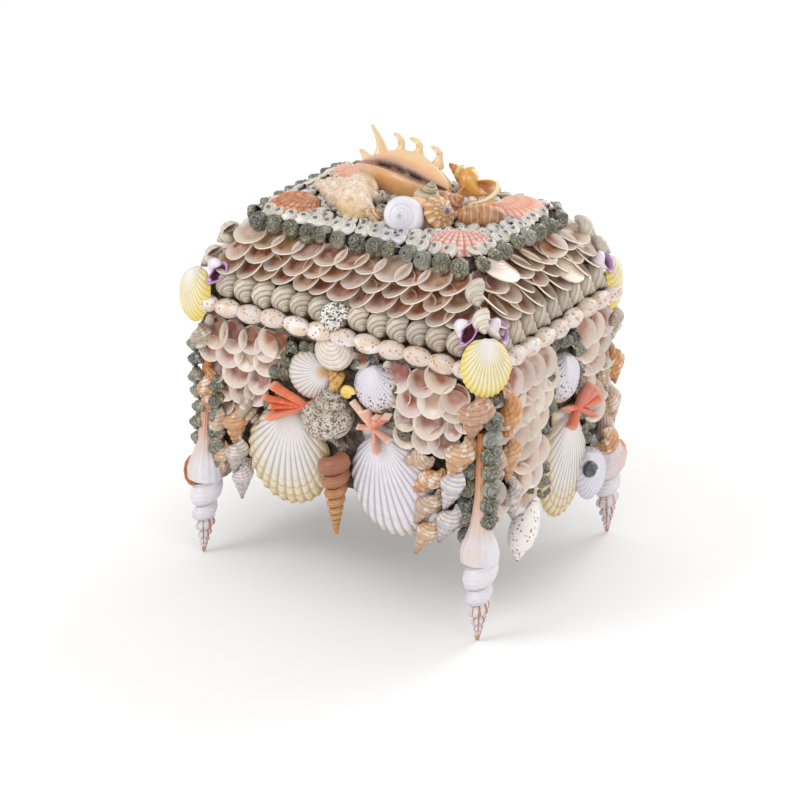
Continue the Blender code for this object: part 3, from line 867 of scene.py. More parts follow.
@cache
def pod(sides: int = 10, rings: int = 8) -> bpy.types.Mesh:
    """A barrel-shaped shell with blunt ends and a slit, one unit long up Z and one unit across.

    Args:
        sides: Corners of a ring.
        rings: Steps from end to end.

    Returns:
        The barrel's mesh, made once.
    """
    corners = [(cos(2 * pi * side / sides), sin(2 * pi * side / sides)) for side in range(sides)]
    corners[0] = (0.82, 0.0)
    tube = []
    for ring in range(rings + 1):
        share = ring / rings
        reach = 0.5 * (0.16 + 0.84 * sin(pi * (0.04 + 0.92 * share)) ** 0.55) * (1 - 0.12 * share)
        tube.append((share, [Vector((reach * x, reach * y, share)) for x, y in corners]))
    growth = Growth(sides)
    growth.tube(tube)
    return growth.finish("pod")


def rod(
    path: Sequence[Vector], girths: Sequence[float], sides: int = 8, flat: float = 1.0, grown: float = 1.0
) -> bpy.types.Mesh:
    """A closed rod that follows a path, for a finger, a lip, a canal or a stick of coral.

    Args:
        path: Its middle line, in metres.
        girths: Its width at each point of the path, in metres.
        sides: Corners of a ring.
        flat: Its thickness against its width.
        grown: How far along a shell's growth its end counts as being.

    Returns:
        The rod's mesh, in place.
    """
    angles = [2 * pi * side / sides for side in range(sides)]
    last = len(path) - 1
    rings = []
    for i, (place, girth) in enumerate(zip(path, girths)):
        ahead = path[min(i + 1, last)] - path[max(i - 1, 0)]
        lean = ahead.to_track_quat("Z", "Y").to_matrix()
        ring = [place + lean @ Vector((cos(a), flat * sin(a), 0)) * girth / 2 for a in angles]
        rings.append((grown * i / last, ring))
    growth = Growth(sides)
    growth.tube(rings)
    return growth.finish("rod")


# Frames and heaps


@dataclass(frozen=True)
class Face:
    """A wall, a slope or the lid's top. A place on it is along, up and out, in steps.

    Attributes:
        origin: Its zero, in metres.
        up: The direction up it.
        out: The direction out of it.
    """

    origin: Vector
    up: Vector
    out: Vector

    @property
    def along(self) -> Vector:
        """The direction along it, to the right as seen from outside."""
        return self.up.cross(self.out)

    def at(self, along: float, up: float, out: float) -> Vector:
        """A place on the face in the object's frame."""
        return self.origin + (self.along * along + self.up * up + self.out * out) * MM

    def frame(self, along: float, up: float, out: float) -> Matrix:
        """The frame of that place: X along the face, -Y out of it, Z up it."""
        turn = Matrix((self.along, -self.out, self.up)).transposed().to_4x4()
        return Matrix.Translation(self.at(along, up, out)) @ turn

    def laid(self, start: Spot, end: Spot, girth: float, turn: float = 0.0) -> Matrix:
        """The place of a coil that lies on the face.

        Args:
            start: Along, up and out of its wide end.
            end: Along, up and out of its tip.
            girth: Its width in steps.
            turn: How far it turns about its own axis, in degrees; at zero its mouth faces the face.

        Returns:
            The matrix that puts a template there.
        """
        root, tip = self.at(*start), self.at(*end)
        axis = (tip - root).normalized()
        outer = self.out if abs(axis.dot(self.out)) < 0.9 else self.up
        back = (outer - axis * outer.dot(axis)).normalized()
        lean = Matrix((back.cross(axis), back, axis)).transposed().to_4x4()
        size = Matrix.Diagonal((girth * MM, girth * MM, (tip - root).length, 1))
        return Matrix.Translation(root) @ lean @ Matrix.Rotation(radians(turn), 4, "Z") @ size

    def fan(self, spot: Spot, size: Spot, roll: float = 0.0, lift: float = 0.0, yaw: float = 0.0) -> Matrix:
        """The place of a valve on the face.

        Args:
            spot: Along, up and out of its rim's middle.
            size: Its width, height of dome and length in steps; a dome below zero shows its hollow.
            roll: How far its beak turns from straight up, in degrees.
            lift: How far its lower rim lifts off the face, in degrees.
            yaw: How far it turns about its own long axis, in degrees.

        Returns:
            The matrix that puts a template there.
        """
        wide, dome, length = size
        spin = Matrix.Rotation(radians(roll), 4, "Y") @ Matrix.Rotation(radians(-lift), 4, "X")
        spin = spin @ Matrix.Rotation(radians(yaw) + (pi if dome < 0 else 0), 4, "Z")
        centre = Matrix.Translation((0, 0, 0.5 * length * MM))
        scale = Matrix.Diagonal((wide * MM, abs(dome) * MM, length * MM, 1))
        return self.frame(*spot) @ spin @ centre @ scale


class Heap:
    """Shells that are gathered into one piece.

    What sinks deeper than the bed, a face and a level out of it, is pressed back onto it.
    """

    def __init__(self, seed: int = 1, bed: tuple[Face, float] | None = None) -> None:
        """Starts an empty heap.

        Args:
            seed: What its dice start from.
            bed: A face and the level out of it that presses the heap's shells.
        """
        self.bm = bmesh.new()
        self.dice = random.Random(seed)
        self.bed = bed

    def add(self, mesh: bpy.types.Mesh, place: Matrix | None = None, tint: float | None = None) -> None:
        """Adds a copy of a template.

        Args:
            mesh: The template.
            place: The matrix that puts it in the object's frame, where it isn't there yet.
            tint: The shell's own number from 0 to 1; thrown where left out.
        """
        before = len(self.bm.verts)
        self.bm.from_mesh(mesh)
        self.bm.verts.ensure_lookup_table()
        fresh = self.bm.verts[before:]
        if place is not None:
            bmesh.ops.transform(self.bm, matrix=place, verts=fresh)
        if self.bed:
            self._press(fresh, *self.bed)
        layer = self.bm.verts.layers.float[Growth.TINT]
        value = self.dice.random() if tint is None else tint
        for vert in fresh:
            vert[layer] = value

    def wobble(self, reach: float) -> float:
        """A thrown number between minus and plus reach."""
        return self.dice.uniform(-reach, reach)

    def _press(self, verts: Iterable[BMVert], face: Face, out: float) -> None:
        """Presses what sinks too deep back out.

        Args:
            verts: The corners that are pressed.
            face: The face that they sink into.
            out: The level out of it that they are pressed onto, in steps.
        """
        for vert in verts:
            depth = (vert.co - face.origin).dot(face.out)
            if depth < out * MM:
                vert.co += face.out * (out * MM - depth)

    def settle(self, name: str, finish: Finish, *nodes: str, smooth: int = 0) -> bpy.types.Object:
        """Makes the heap a piece of the scene.

        Args:
            name: The piece's name.
            finish: Its finish.
            nodes: The frame's nodes that it stands for.
            smooth: Levels of subdivision.

        Returns:
            The piece.
        """
        mesh = bpy.data.meshes.new(name)
        self.bm.to_mesh(mesh)
        self.bm.free()
        mesh.shade_smooth()
        mesh.set_sharp_from_angle(angle=radians(CREASE))
        mesh.materials.append(finish.make())
        piece = bpy.data.objects.new(name, mesh)
        bpy.context.scene.collection.objects.link(piece)
        if smooth:
            surface = piece.modifiers.new("smooth", "SUBSURF")
            surface.levels = smooth
            surface.render_levels = smooth
        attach(piece, "root")
        if nodes:
            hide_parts(*nodes)
        LOG.info("%s: %d faces", name, len(mesh.polygons))
        return piece


# Kinds of shells: growth laws and finishes

SNAIL = Coil(whorls=4, steps=12, sides=8, widen=1.7, tall=1.0, overlap=0.8)
ROUND_SNAIL = Coil(whorls=3.5, steps=11, sides=8, widen=1.62, tall=0.85, overlap=0.55)
LOW_SNAIL = Coil(whorls=3.5, steps=12, sides=9, widen=1.95, wide=0.95, tall=1.0, overlap=0.66)
BUTTON = Coil(whorls=3, steps=10, sides=7, widen=1.6, tall=0.7, overlap=0.4)
WHELK = Coil(whorls=6, steps=14, sides=9, widen=1.48, tall=1.1, overlap=0.88, knobs=0.05, canal=0.5)
SMOOTH_WHELK = Coil(whorls=5, steps=12, sides=9, widen=1.7, tall=1.25, overlap=0.85, canal=0.5)
SPINDLE = Coil(
    whorls=8, steps=16, sides=12, widen=1.4, tall=0.95, overlap=0.92, knobs=0.24, knob_from=0.2,
    along_from=0.06, flare=0.05,
)
TURRET = Coil(whorls=11, steps=12, sides=9, widen=1.24, tall=0.85, overlap=0.95)
TURBAN = Coil(whorls=5, steps=18, sides=14, widen=1.5, tall=0.85, overlap=0.82, knobs=0.06)
CONE_TURBAN = Coil(whorls=5, steps=20, sides=14, widen=1.62, wide=0.66, tall=1.05, overlap=0.58, knobs=0.1)
MOON = Coil(whorls=4, steps=20, sides=12, widen=1.6, tall=0.55, overlap=0.35)
MOUTH_SNAIL = Coil(
    whorls=2.5, steps=12, sides=12, widen=2.8, wide=0.95, tall=1.15, overlap=0.5, canal=0.3, flare=0.1
)
CONCH = Coil(whorls=5, steps=16, sides=12, widen=1.6, tall=1.2, overlap=0.85, knobs=0.18, canal=0.3)
CASK = Coil(whorls=4, steps=16, sides=12, widen=2.2, wide=0.9, tall=1.8, overlap=0.6)
CLAM = Valve(corners=16, rings=1, hollow=True, lip=0.2)
COCKLE = Valve(corners=89, rings=7, ribs=22, relief=0.014, notch=0.004, spread=radians(74))
SCALLOP = Valve(corners=121, rings=12, ribs=20, relief=0.055, notch=0.01, spread=radians(60), ears=0.24)
YELLOW_COCKLE = Valve(corners=89, rings=8, ribs=22, relief=0.045, notch=0.008, spread=radians(68))
LID_FAN = Valve(corners=97, rings=9, ribs=16, relief=0.08, notch=0.014, spread=radians(58), ears=0.2)
RIDGED_CLAM = Valve(corners=24, rings=23, bands=8, spread=radians(80))

CLAM_FINISH = ShellFinish(
    "clam_half", "clam", ("cfc0b4", "d8cabe", "d2bdb2", "dccfc8"), edge="efe6da", edge_share=0.3,
    inside=("e9ddd2", "ead8c2", "e4d2ce", "ece2d6"), deep=("a87260", "c28c60", "946064", "c9a68a", "a8664e"),
    stain="9a4e30", shade=0.05, folds=9, grain=0.08, roughness=0.26, coat=0.3,
)
BAND_CLAM_FINISH = ShellFinish(
    "lid_clam_half", "clam", ("dfc8b8", "e4ccba", "dac0b4", "e6d2c4"), edge="f2e6d4", edge_share=0.4,
    inside=("eadccf", "e6d3c0", "ecdacc", "e2d4d6"), deep=("a98568", "be9068", "9a7474", "c8aa90", "ae7250"),
    stain="98503a", shade=0.05, folds=9, grain=0.08, roughness=0.24, coat=0.5,
)
BARREL_FINISH = ShellFinish(
    "dotted_barrel", "barrel_shell", ("efe8e8", "ecdfd4", "f2edea", "eee2da"), mark=Mark.SPOTS,
    mark_colour="a4653f", speck=3.3, cut=(0.68, 0.76), strength=0.75, patch="e4ccb2", patch_size=8,
    shade=0.06, seam_shade=0.3, seam_shade_colour="b08a70", roughness=0.3, coat=0.4, grain=0.2,
)
GREY_FINISH = ShellFinish(
    "grey_beige_snail", "grey_snail", ("d3c4b0", "beb0a0", "dccfbc", "bcb0a4"), mark=Mark.LINES,
    mark_colour="86725e", counts=(9, 1), cut=(0.1, 0.9), strength=0.65, ribs=9, tip="b5a99c", tip_from=0.75,
    shade=0.1, seam_shade=0.45, seam_shade_colour="85766a",
)
# Its mouth darkens to near black deep inside, partly as painted shade.
DARK_FINISH = ShellFinish(
    "olive_mottled_snail", "dark_snail", ("4c4a36", "625f48", "2c353d", "545139", "888a83"),
    mark=Mark.SPECKS, mark_colour="bdb688", speck=1.4, cut=(0.54, 0.6), strength=0.6, tip="aaa58f",
    tip_from=0.86, ribs=6, depth=0.35, roughness=0.26, coat=0.8, shade=0.2, seam_shade=0.85, seam_shade_colour="1d1c18",
    inside=("3a3428",), deep=("14110d",),
)
BUTTON_FINISH = ShellFinish(
    "grey_button", "", ("ece6da", "dcd7cc", "f0eade", "e0dae2"), mark=Mark.LINES, mark_colour="918c82",
    counts=(5, 1), cut=(0.3, 0.8), strength=0.35, tip="62646a", tip_from=0.7, tip_fade=0.15, shade=0.1,
    seam_shade=0.5, seam_shade_colour="6e6b64", coat=0.4,
)
PURPLE_FINISH = ShellFinish(
    "purple_mouth", "", ("f2ebf0",), edge="b485bd", edge_share=0.05, inside=("b07ab4",), deep=("4c101e",),
    mark=Mark.BANDS, mark_colour="cdbcd2", counts=(1, 5), strength=0.5, coat=0.5,
)
CREAM_FINISH = ShellFinish(
    "cream_round_snail", "", ("e8ddd0", "d5c9ba", "c4b8ab"), mark=Mark.LINES, mark_colour="a08f7e",
    counts=(8, 1), cut=(0.2, 0.9), strength=0.4, ribs=8, seam_shade=0.4, seam_shade_colour="8d7c6c",
)
CHEQUER_FINISH = ShellFinish(
    "black_white_snail", "", ("ebe6db",), mark=Mark.SPECKS, mark_colour="302d2e", speck=1.7,
    cut=(0.52, 0.56), strength=0.95, roughness=0.3, coat=0.5,
)
SCALLOP_FINISH = ShellFinish(
    "banded_scallop", "white_scallop", ("e4dfdb",), mark=Mark.BANDS, mark_colour="c8935a", counts=(16, 12),
    cut=(0.3, 1.0), strength=0.55, marked=(-0.1, 0.26), edge="e2d0a0", edge_share=0.4, shade=0.05,
    groove_shade="a3978c", ribs=20, depth=0.5, folds=26, fold_weight=0.12, roughness=0.5, coat=0.1,
)
WHITE_SCALLOP_FINISH = replace(
    SCALLOP_FINISH, name="lavender_scallop", ground=("e2dde3",), mark_colour="cfbfae", counts=(16, 7),
    strength=0.3, marked=(-0.1, 0.3), edge="e4ddd0", edge_share=0.15, shade=0.06, groove_shade="a39aa8",
)
WHITE_COCKLE_FINISH = ShellFinish(
    "tan_edged_cockle", "white_cockle", ("e0dad8",), edge="d2b896", edge_share=0.1, patch="ead8c2",
    patch_size=14, patch_cut=(0.5, 0.66), groove_shade="b3a69e", ribs=22, folds=20, shade=0.05, tip="cfa877",
    tip_from=0.66,
)
SPECKLED_COCKLE_FINISH = ShellFinish(
    "speckled_cockle", "white_cockle", ("dfdbe2",), mark=Mark.SPOTS, mark_colour="5c2a20", speck=2.9,
    cut=(0.66, 0.74), strength=0.95, marked=(0.0, 0.4), edge="e6c9a8", edge_share=0.16, shade=0.05,
    groove_shade="bdb4bc", ribs=22,
)
YELLOW_COCKLE_FINISH = ShellFinish(
    "yellow_cockle_shell", "yellow_cockle", ("eee4c0",), edge="ecd672", edge_share=0.3, tip="eae4dc",
    tip_from=0.4, tip_fade=0.4, groove_shade="cdb968", ribs=22, shade=0.04, folds=30, fold_weight=0.1,
    inside=("f1eddc",), deep=("e4ddc8",), roughness=0.45, coat=0.1,
)
CORAL_FAN_FINISH = ShellFinish(
    "mottled_coral_fan", "orange_fan", ("dea294",), mark=Mark.STREAKS, mark_colour="f3dfd4", counts=(1, 8),
    cut=(0.4, 0.9), strength=0.7, patch="ecc6b6", patch_size=5, tip="e6b3a3", tip_from=0.7, shade=0.1,
    groove_shade="b5665a", ribs=16,
)
ORANGE_FAN_FINISH = ShellFinish(
    "salmon_fan", "orange_fan", ("f0bba4",), mark=Mark.BANDS, mark_colour="de8a72", counts=(16, 4),
    cut=(0.2, 0.9), strength=0.35, edge="f4d8c8", edge_share=0.3, tip="f3e2d4", tip_from=0.75, shade=0.08,
    groove_shade="d4806a", ribs=16,
)
BROWN_FAN_FINISH = ShellFinish(
    "russet_fan", "orange_fan", ("cf8a5e",), mark=Mark.BANDS, mark_colour="a85c3a", counts=(16, 6),
    cut=(0.1, 0.9), strength=0.6, patch="e0ab84", patch_size=8, tip="dcb292", tip_from=0.7, groove_shade="a35f42",
    ribs=16,
)
FOOT_FINISH = ShellFinish(
    "spindle_shell_skin", "spindle_shell", ("e0dbe2",), mark=Mark.BANDS, mark_colour="b8692a",
    counts=(1, 68), cut=(0.2, 0.8), strength=0.85, marked=(0.31, 1.2), edge="cd8038", edge_share=0.12,
    tip="b98055", tip_from=0.7, patch="e3d6cc", patch_size=14, patch_cut=(0.56, 0.75), folds=40,
    fold_weight=0.1, ribs=16, depth=0.4, seam_shade=0.3, seam_shade_colour="c2a58c", inside=("c98a5a",),
    deep=("7a4526",), shade=0.05, roughness=0.3, coat=0.4,
)
TURRET_FINISH = ShellFinish(
    "turret_skin", "turret_shell", ("c98f50",), mark=Mark.LINES, mark_colour="93592f", counts=(14, 1),
    cut=(0.1, 0.8), strength=0.5, edge="9c5f48", edge_share=0.34, tip="cbb79d", tip_from=0.84, ribs=14,
    seam_shade=0.5, seam_shade_colour="7d4c2c",
)
TURBAN_FINISH = ShellFinish(
    "speckled_turban_skin", "speckled_turban", ("dcd0c2",), mark=Mark.SPECKS, mark_colour="3c302c",
    speck=1.8, cut=(0.52, 0.58), strength=0.8, patch="c9a888", patch_size=5, patch_cut=(0.5, 0.66),
    ribs=8, depth=1.4, grain=1.0, seam_shade=0.45, seam_shade_colour="6b5a50", roughness=0.5, coat=0.1,
)
WHELK_FINISH = ShellFinish(
    "banded_whelk", "whelk", ("d08c48", "cfac8a", "b0a396", "d2ccd2", "bd8350"), mark=Mark.LINES,
    mark_colour="7c5236", counts=(18, 1), cut=(0.3, 0.8), strength=0.45, patch="e2d6c8", patch_size=7,
    patch_cut=(0.54, 0.66), tip="868c96", tip_from=0.66, tip_fade=0.25, folds=62, fold_weight=0.5,
    depth=0.5, seam_shade=0.4, seam_shade_colour="6e5442", inside=("c58a5c",), deep=("5a3520",), roughness=0.33,
    coat=0.35,
)
DOTTED_CONE_FINISH = ShellFinish(
    "red_dotted_cone", "", ("f0e9e4",), mark=Mark.SPOTS, mark_colour="9a3b2a", speck=3,
    cut=(0.68, 0.76), tip="2c292c", tip_from=0.72, tip_fade=0.1, shade=0.06, seam_shade=0.3,
)
GOLD_FINISH = ShellFinish(
    "golden_snail", "", ("c8923a", "d9a653", "cda070"), mark=Mark.SPECKS, mark_colour="6f4420",
    speck=2.4, cut=(0.54, 0.6), strength=0.6, seam_shade=0.4, coat=0.5,
)
YELLOW_PIECE_FINISH = ShellFinish("yellow_button", "", ("ecc45a",), edge="f3d98c", folds=5, coat=0.4)
BUMPY_FINISH = ShellFinish(
    "bumpy_coral_snail", "", ("e79a72", "cfa47c"), patch="f2d0ae", patch_size=3, grain=1.4, depth=1.2,
    seam_shade=0.4, seam_shade_colour="a65a3a",
)
TONGUE_FINISH = ShellFinish(
    "tan_oliva", "", ("e0b98c",), patch="ecd3b0", patch_size=8, edge="c99a68", coat=0.5,
)
NERITE_FINISH = ShellFinish(
    "dark_nerite", "", ("3c4748",), mark=Mark.LINES, mark_colour="16191b", counts=(5, 1), coat=0.6,
)
RIDGED_FINISH = ShellFinish(
    "ridged_clam", "", ("e3d6ca",), mark=Mark.BANDS, mark_colour="ab9787", counts=(1, 8), cut=(0.1, 0.9),
    strength=0.5,
)
ROUGH_FINISH = ShellFinish(
    "rough_pink_conch", "pink_conch", ("f6d6b6",), patch="fbf1e2", patch_size=3.4, patch_cut=(0.42, 0.6),
    mark=Mark.SPECKS, mark_colour="a87c86", speck=4, cut=(0.54, 0.64), strength=0.38, edge="ecc98c",
    edge_share=0.035, depth=0.9, grain=1.3, folds=30, seam_shade=0.06, seam_shade_colour="9a6a5c", inside=("e0b184",),
    deep=("a8683f",), shade=0.05, roughness=0.5,
)
YELLOW_CONCH_FINISH = ShellFinish(
    "glossy_yellow_conch", "orange_conch", ("e0a040",), patch="f0cb84", patch_size=7, edge="f1dfb4",
    edge_share=0.08, tip="bf7c40", tip_from=0.5, inside=("e9b562",), deep=("b06a2a",), shade=0.15,
    roughness=0.25, coat=0.6,
)
MOON_FINISH = ShellFinish(
    "lavender_moon", "moon_shell", ("e8e5ea",), mark=Mark.LINES, mark_colour="cac3d0", counts=(5, 1),
    cut=(0.0, 0.9), strength=0.4, inside=("efc49a",), shade=0.04, tip="c2b8d4", tip_from=0.8,
    seam_shade=0.3, seam_shade_colour="b6aec6", roughness=0.3, coat=0.4,
)
DISC_FINISH = ShellFinish("orange_disc", "moon_shell", ("f3c49a",), edge="f6dcbc", folds=8, coat=0.4)
RIBBED_TURBAN_FINISH = ShellFinish(
    "ribbed_orange_turban", "orange_turban", ("cf9455",), mark=Mark.BANDS, mark_colour="f3e3c4",
    counts=(1, 40), cut=(-0.2, 0.6), strength=0.6, tip="cdc0de", tip_from=0.72, folds=40,
    fold_weight=0.8, depth=0.7, seam_shade=0.5, seam_shade_colour="8f5a2c",
)
STRIPED_SNAIL_FINISH = ShellFinish(
    "striped_cream_snail", "cream_snail", ("c9ba9a",), mark=Mark.LINES, mark_colour="4f4a45",
    counts=(4, 1), cut=(0.7, 0.9), strength=0.5, marked=(0.35, 1.1), shade=0.08, seam_shade=0.7,
    seam_shade_colour="4f4a45",
)
RIBBED_FINISH = ShellFinish(
    "white_ribbed_shell", "white_cockle", ("e2dfe8",), edge="d8d2e2", edge_share=0.3, groove_shade="bab4c4",
    ribs=22, folds=20, shade=0.04,
)
CASK_FINISH = ShellFinish(
    "streaked_cask", "brown_cask", ("dc924e",), mark=Mark.STREAKS, mark_colour="ecd9c0", counts=(1, 7),
    cut=(0.6, 0.95), strength=0.7, patch="ae6b3e", patch_size=5, seam_shade=0.4, coat=0.5,
)
CORAL_RED = CoralFinish("red_coral", "", ("dd6338", "ea8058", "f2a688"), "f6c6a8")
CORAL_PINK = CoralFinish("pink_coral", "", ("e6683f", "eb8a6a", "e89a8c"), "f6bda4")
CORAL_PEACH = CoralFinish("peach_coral", "", ("e08468", "f2d0b8", "eaa588"), "f9e4d4")

# Layout of the box: half lengths in steps and the levels of the walls and the lid

WALL_TOP = 201
HALVES = (117, 86)
LID_HALVES = (124, 93)
KNEE = 208
LID_RISE = 69
LID_INSET = 34
LID_SLOPE = hypot(LID_RISE, LID_INSET)
TOP = KNEE + LID_RISE + 0.3
SIDES = ("front", "right", "back", "left")
CORNERS = (("front_left", -1, -1), ("front_right", 1, -1), ("back_right", 1, 1), ("back_left", -1, 1))
UP = Vector((0, 0, 1))


def outward(side: int) -> Vector:
    """The level direction out of a side; side 0 is the front and 1 the right."""
    return Matrix.Rotation(side * pi / 2, 3, "Z") @ Vector((0, -1, 0))


def wall(side: int) -> Face:
    """The frame of a wall, with its zero on the floor under its middle."""
    return Face(outward(side) * HALVES[1 - side % 2] * MM, UP, outward(side))


def slope(side: int) -> Face:
    """The frame of a slope of the lid.

    Args:
        side: 0 for the front, then round to the right.

    Returns:
        The frame, with its zero at the middle of the slope's knee.
    """
    out = outward(side)
    origin = (out * LID_HALVES[1 - side % 2] + UP * KNEE) * MM
    up = (UP * LID_RISE - out * LID_INSET) / LID_SLOPE
    return Face(origin, up, (out * LID_RISE + UP * LID_INSET) / LID_SLOPE)


LID_TOP = Face(UP * TOP * MM, Vector((0, 1, 0)), UP)


@dataclass
class Assembly:
    """A group of shells that belong together.

    Attributes:
        pieces: How many pieces it has settled so far.
    """

    pieces: int = 0

    def keep(self, heap: Heap, name: str, finish: Finish, *nodes: str, smooth: int = 0) -> None:
        """Settles a heap and counts it."""
        heap.settle(name, finish, *nodes, smooth=smooth)
        self.pieces += 1

    def single(self, name: str, mesh: bpy.types.Mesh, place: Matrix, finish: Finish, *nodes: str) -> None:
        """Settles one shell as a piece of its own.

        Args:
            name: The piece's name.
            mesh: The shell's template.
            place: The matrix that puts it in place.
            finish: Its finish.
            nodes: The frame's nodes that it stands for.
        """
        heap = Heap()
        heap.add(mesh, place, 0.5)
        self.keep(heap, name, finish, *nodes)


@dataclass
class Carcass(Assembly):
    """The box and lid of board, which keep the frame's own solids."""

    def build(self) -> None:
        """Gives the frame's solids their finish."""
        for node in ("box_body", "lid"):
            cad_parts[node].material_slots[0].material = BoardFinish("box_board", "dark_wood").make()


@dataclass
class SpindleFeet(Assembly):
    """Four spindle shells, tip down, on which the box stands.

    Attributes:
        tip: Where the front right tip stands, in steps.
        top: Where its canal ends.
        girth: Width of the body whorl.
        body: Height of the coiled part.
        turns: Turn about its own axis of a left and of a right hand shell, in degrees.
        canal: Height and width of the canal at its stations, from its top down.
    """

    tip: Spot = (125.1, 99.7, 0.1)
    top: Spot = (121.2, 90.2, 164.0)
    girth: float = 34.0
    body: float = 84.0
    turns: Spot = (120, 200)
    canal: tuple[Spot, ...] = (
        (164, 7.5), (150, 8.5), (128, 9), (112, 10), (101, 12.4), (93, 15), (85.6, 19.5), (80, 25.5),
        (73, 29.5), (65, 28.5),
    )

    def build(self) -> None:
        """Builds the four feet."""
        for name, sx, sy in CORNERS:
            hand = Vector((sx, sy, 1)) * MM
            tip, top = Vector(self.tip) * hand, Vector(self.top) * hand
            heap = Heap()
            root = tip.lerp(top, self.body / self.top[2])
            lean = (tip - root).to_track_quat("Z", "Y").to_matrix().to_4x4()
            size = Matrix.Diagonal((self.girth * MM, self.girth * MM, (tip - root).length, 1))
            turn = Matrix.Rotation(radians(self.turns[sx * sy < 0]), 4, "Z")
            heap.add(SPINDLE.mesh(), Matrix.Translation(root) @ lean @ turn @ size)
            path = [tip.lerp(top, z / self.top[2]) for z, _ in self.canal]
            heap.add(rod(path, [width * MM for _, width in self.canal], 12, grown=0.14))
            self.keep(heap, "foot_" + name, FOOT_FINISH, "foot_spindle_" + name)


@dataclass
class Wall(Assembly):
    """What long and short walls share.

    Attributes:
        side: 0 for the front, then round to the right.
        clam: Width of the clam halves in a cluster that is filled in courses.
        facing: How far the clam halves turn along the wall, in degrees.
    """

    CLAM_SHAPE = (2.05, -0.74, 2.0)

    side: int = 0
    clam: float = 25.0
    facing: float = 0.0

    def __post_init__(self) -> None:
        """Finds the wall's frame and name."""
        self.face = wall(self.side)
        self.name = SIDES[self.side]

    def label(self, kind: str, end: str = "") -> str:
        """A name for one of the wall's nodes."""
        return "_".join(part for part in (kind, self.name, end) if part)

    def clams(self, heap: Heap, spots: Iterable[Spot]) -> None:
        """Adds clam halves, hollow side out.

        Args:
            heap: Where they are added.
            spots: Along, up and radius of each.
        """
        for along, up, radius in spots:
            size = [share * radius for share in self.CLAM_SHAPE]
            spin = (heap.wobble(16), 15 + heap.wobble(8), self.facing + heap.wobble(14))
            heap.add(CLAM.mesh(), self.face.fan((along, up, 8 + heap.wobble(1)), size, *spin))

    def cluster(self, near: float, far: float, lowest: float, drop: float) -> list[Spot]:
        """Fills a hanging triangle with clam halves in courses.

        Args:
            near: Where it begins along the wall.
            far: Where it ends.
            lowest: Where along the wall it hangs lowest.
            drop: How far it hangs there.

        Returns:
            Along, up and radius of each.
        """
        spots = []
        radius = self.clam / 2
        course_rise, course_step = 1.1 * radius, 1.25 * radius
        for course in range(int(drop / course_rise)):
            up = WALL_TOP - 10 - course_rise * course
            along = near + (9 if course % 2 else 1)
            while along < far:
                reach = abs(along - lowest) / max(abs(far - lowest), abs(near - lowest))
                if WALL_TOP - up < drop * (1 - 0.72 * reach):
                    spots.append((along, up, radius))
                along += course_step
        return spots

    def whelks(self, end: str, spots: Iterable[Spot]) -> None:
        """Builds the whelks at one end of the wall.

        Args:
            end: The end's name in the frame.
            spots: Along and up of each one's wide end and tip, its girth and tint; 0 and over 0.9 are smooth.
        """
        heap = Heap(7 + self.side, (self.face, 0.1))
        for x0, z0, x1, z1, girth, tint in spots:
            start, tip = (x0, z0, 0.5 * girth), (x1, z1, 0.4 * girth)
            coil = SMOOTH_WHELK if tint > 0.9 or tint == 0 else WHELK
            heap.add(coil.mesh(), self.face.laid(start, tip, 1.14 * girth, heap.wobble(60)), tint)
        self.keep(heap, self.label("whelk_shells", end), WHELK_FINISH, self.label("whelks", end))

    def periwinkles(self, spots: Iterable[Spot]) -> None:
        """Builds the dark round snails that fill the gaps.

        Args:
            spots: Along, up, out and width of each.
        """
        heap = Heap(31 + self.side)
        for along, up, out, girth in spots:
            start = (along, up, out - 0.45 * girth)
            tip = (along + heap.wobble(3), up + heap.wobble(3), out + 0.5 * girth)
            place = self.face.laid(start, tip, 1.25 * girth, heap.dice.uniform(0, 360))
            heap.add(ROUND_SNAIL.mesh(), place)
        self.keep(heap, self.label("periwinkles"), DARK_FINISH)

    def coral(self, name: str, finish: Finish, root: Spot, ends: Iterable[Spot]) -> None:
        """Builds blunt sticks that fan out from a root.

        Args:
            name: The piece's name.
            finish: Its finish.
            root: Along, up and out of the place where they meet.
            ends: Along, up and width of each stick's end.
        """
        heap = Heap(len(name))
        start = self.face.at(*root)
        for along, up, width in ends:
            end = self.face.at(along, up, root[2] + heap.wobble(2.5))
            bends = (0, 0.3, 0.7, 1)
            path = [start.lerp(end, share) + self.face.out * heap.wobble(0.6) * MM for share in bends]
            girths = [1.5 * width * MM * share for share in (0.6, 0.85, 1, 1.06)]
            heap.add(rod(path, girths, 4, 0.55))
        self.keep(heap, self.label(name), finish)

    def valve(self, name: str, law: Valve, place: Sequence[Spot | float], finish: Finish, *node: str) -> None:
        """Builds one big valve at a spot, size, roll and lift; node is its node's kind and end."""
        nodes = [self.label(*node)] if node else []
        self.single(self.label(name), law.mesh(), self.face.fan(*place), finish, *nodes)


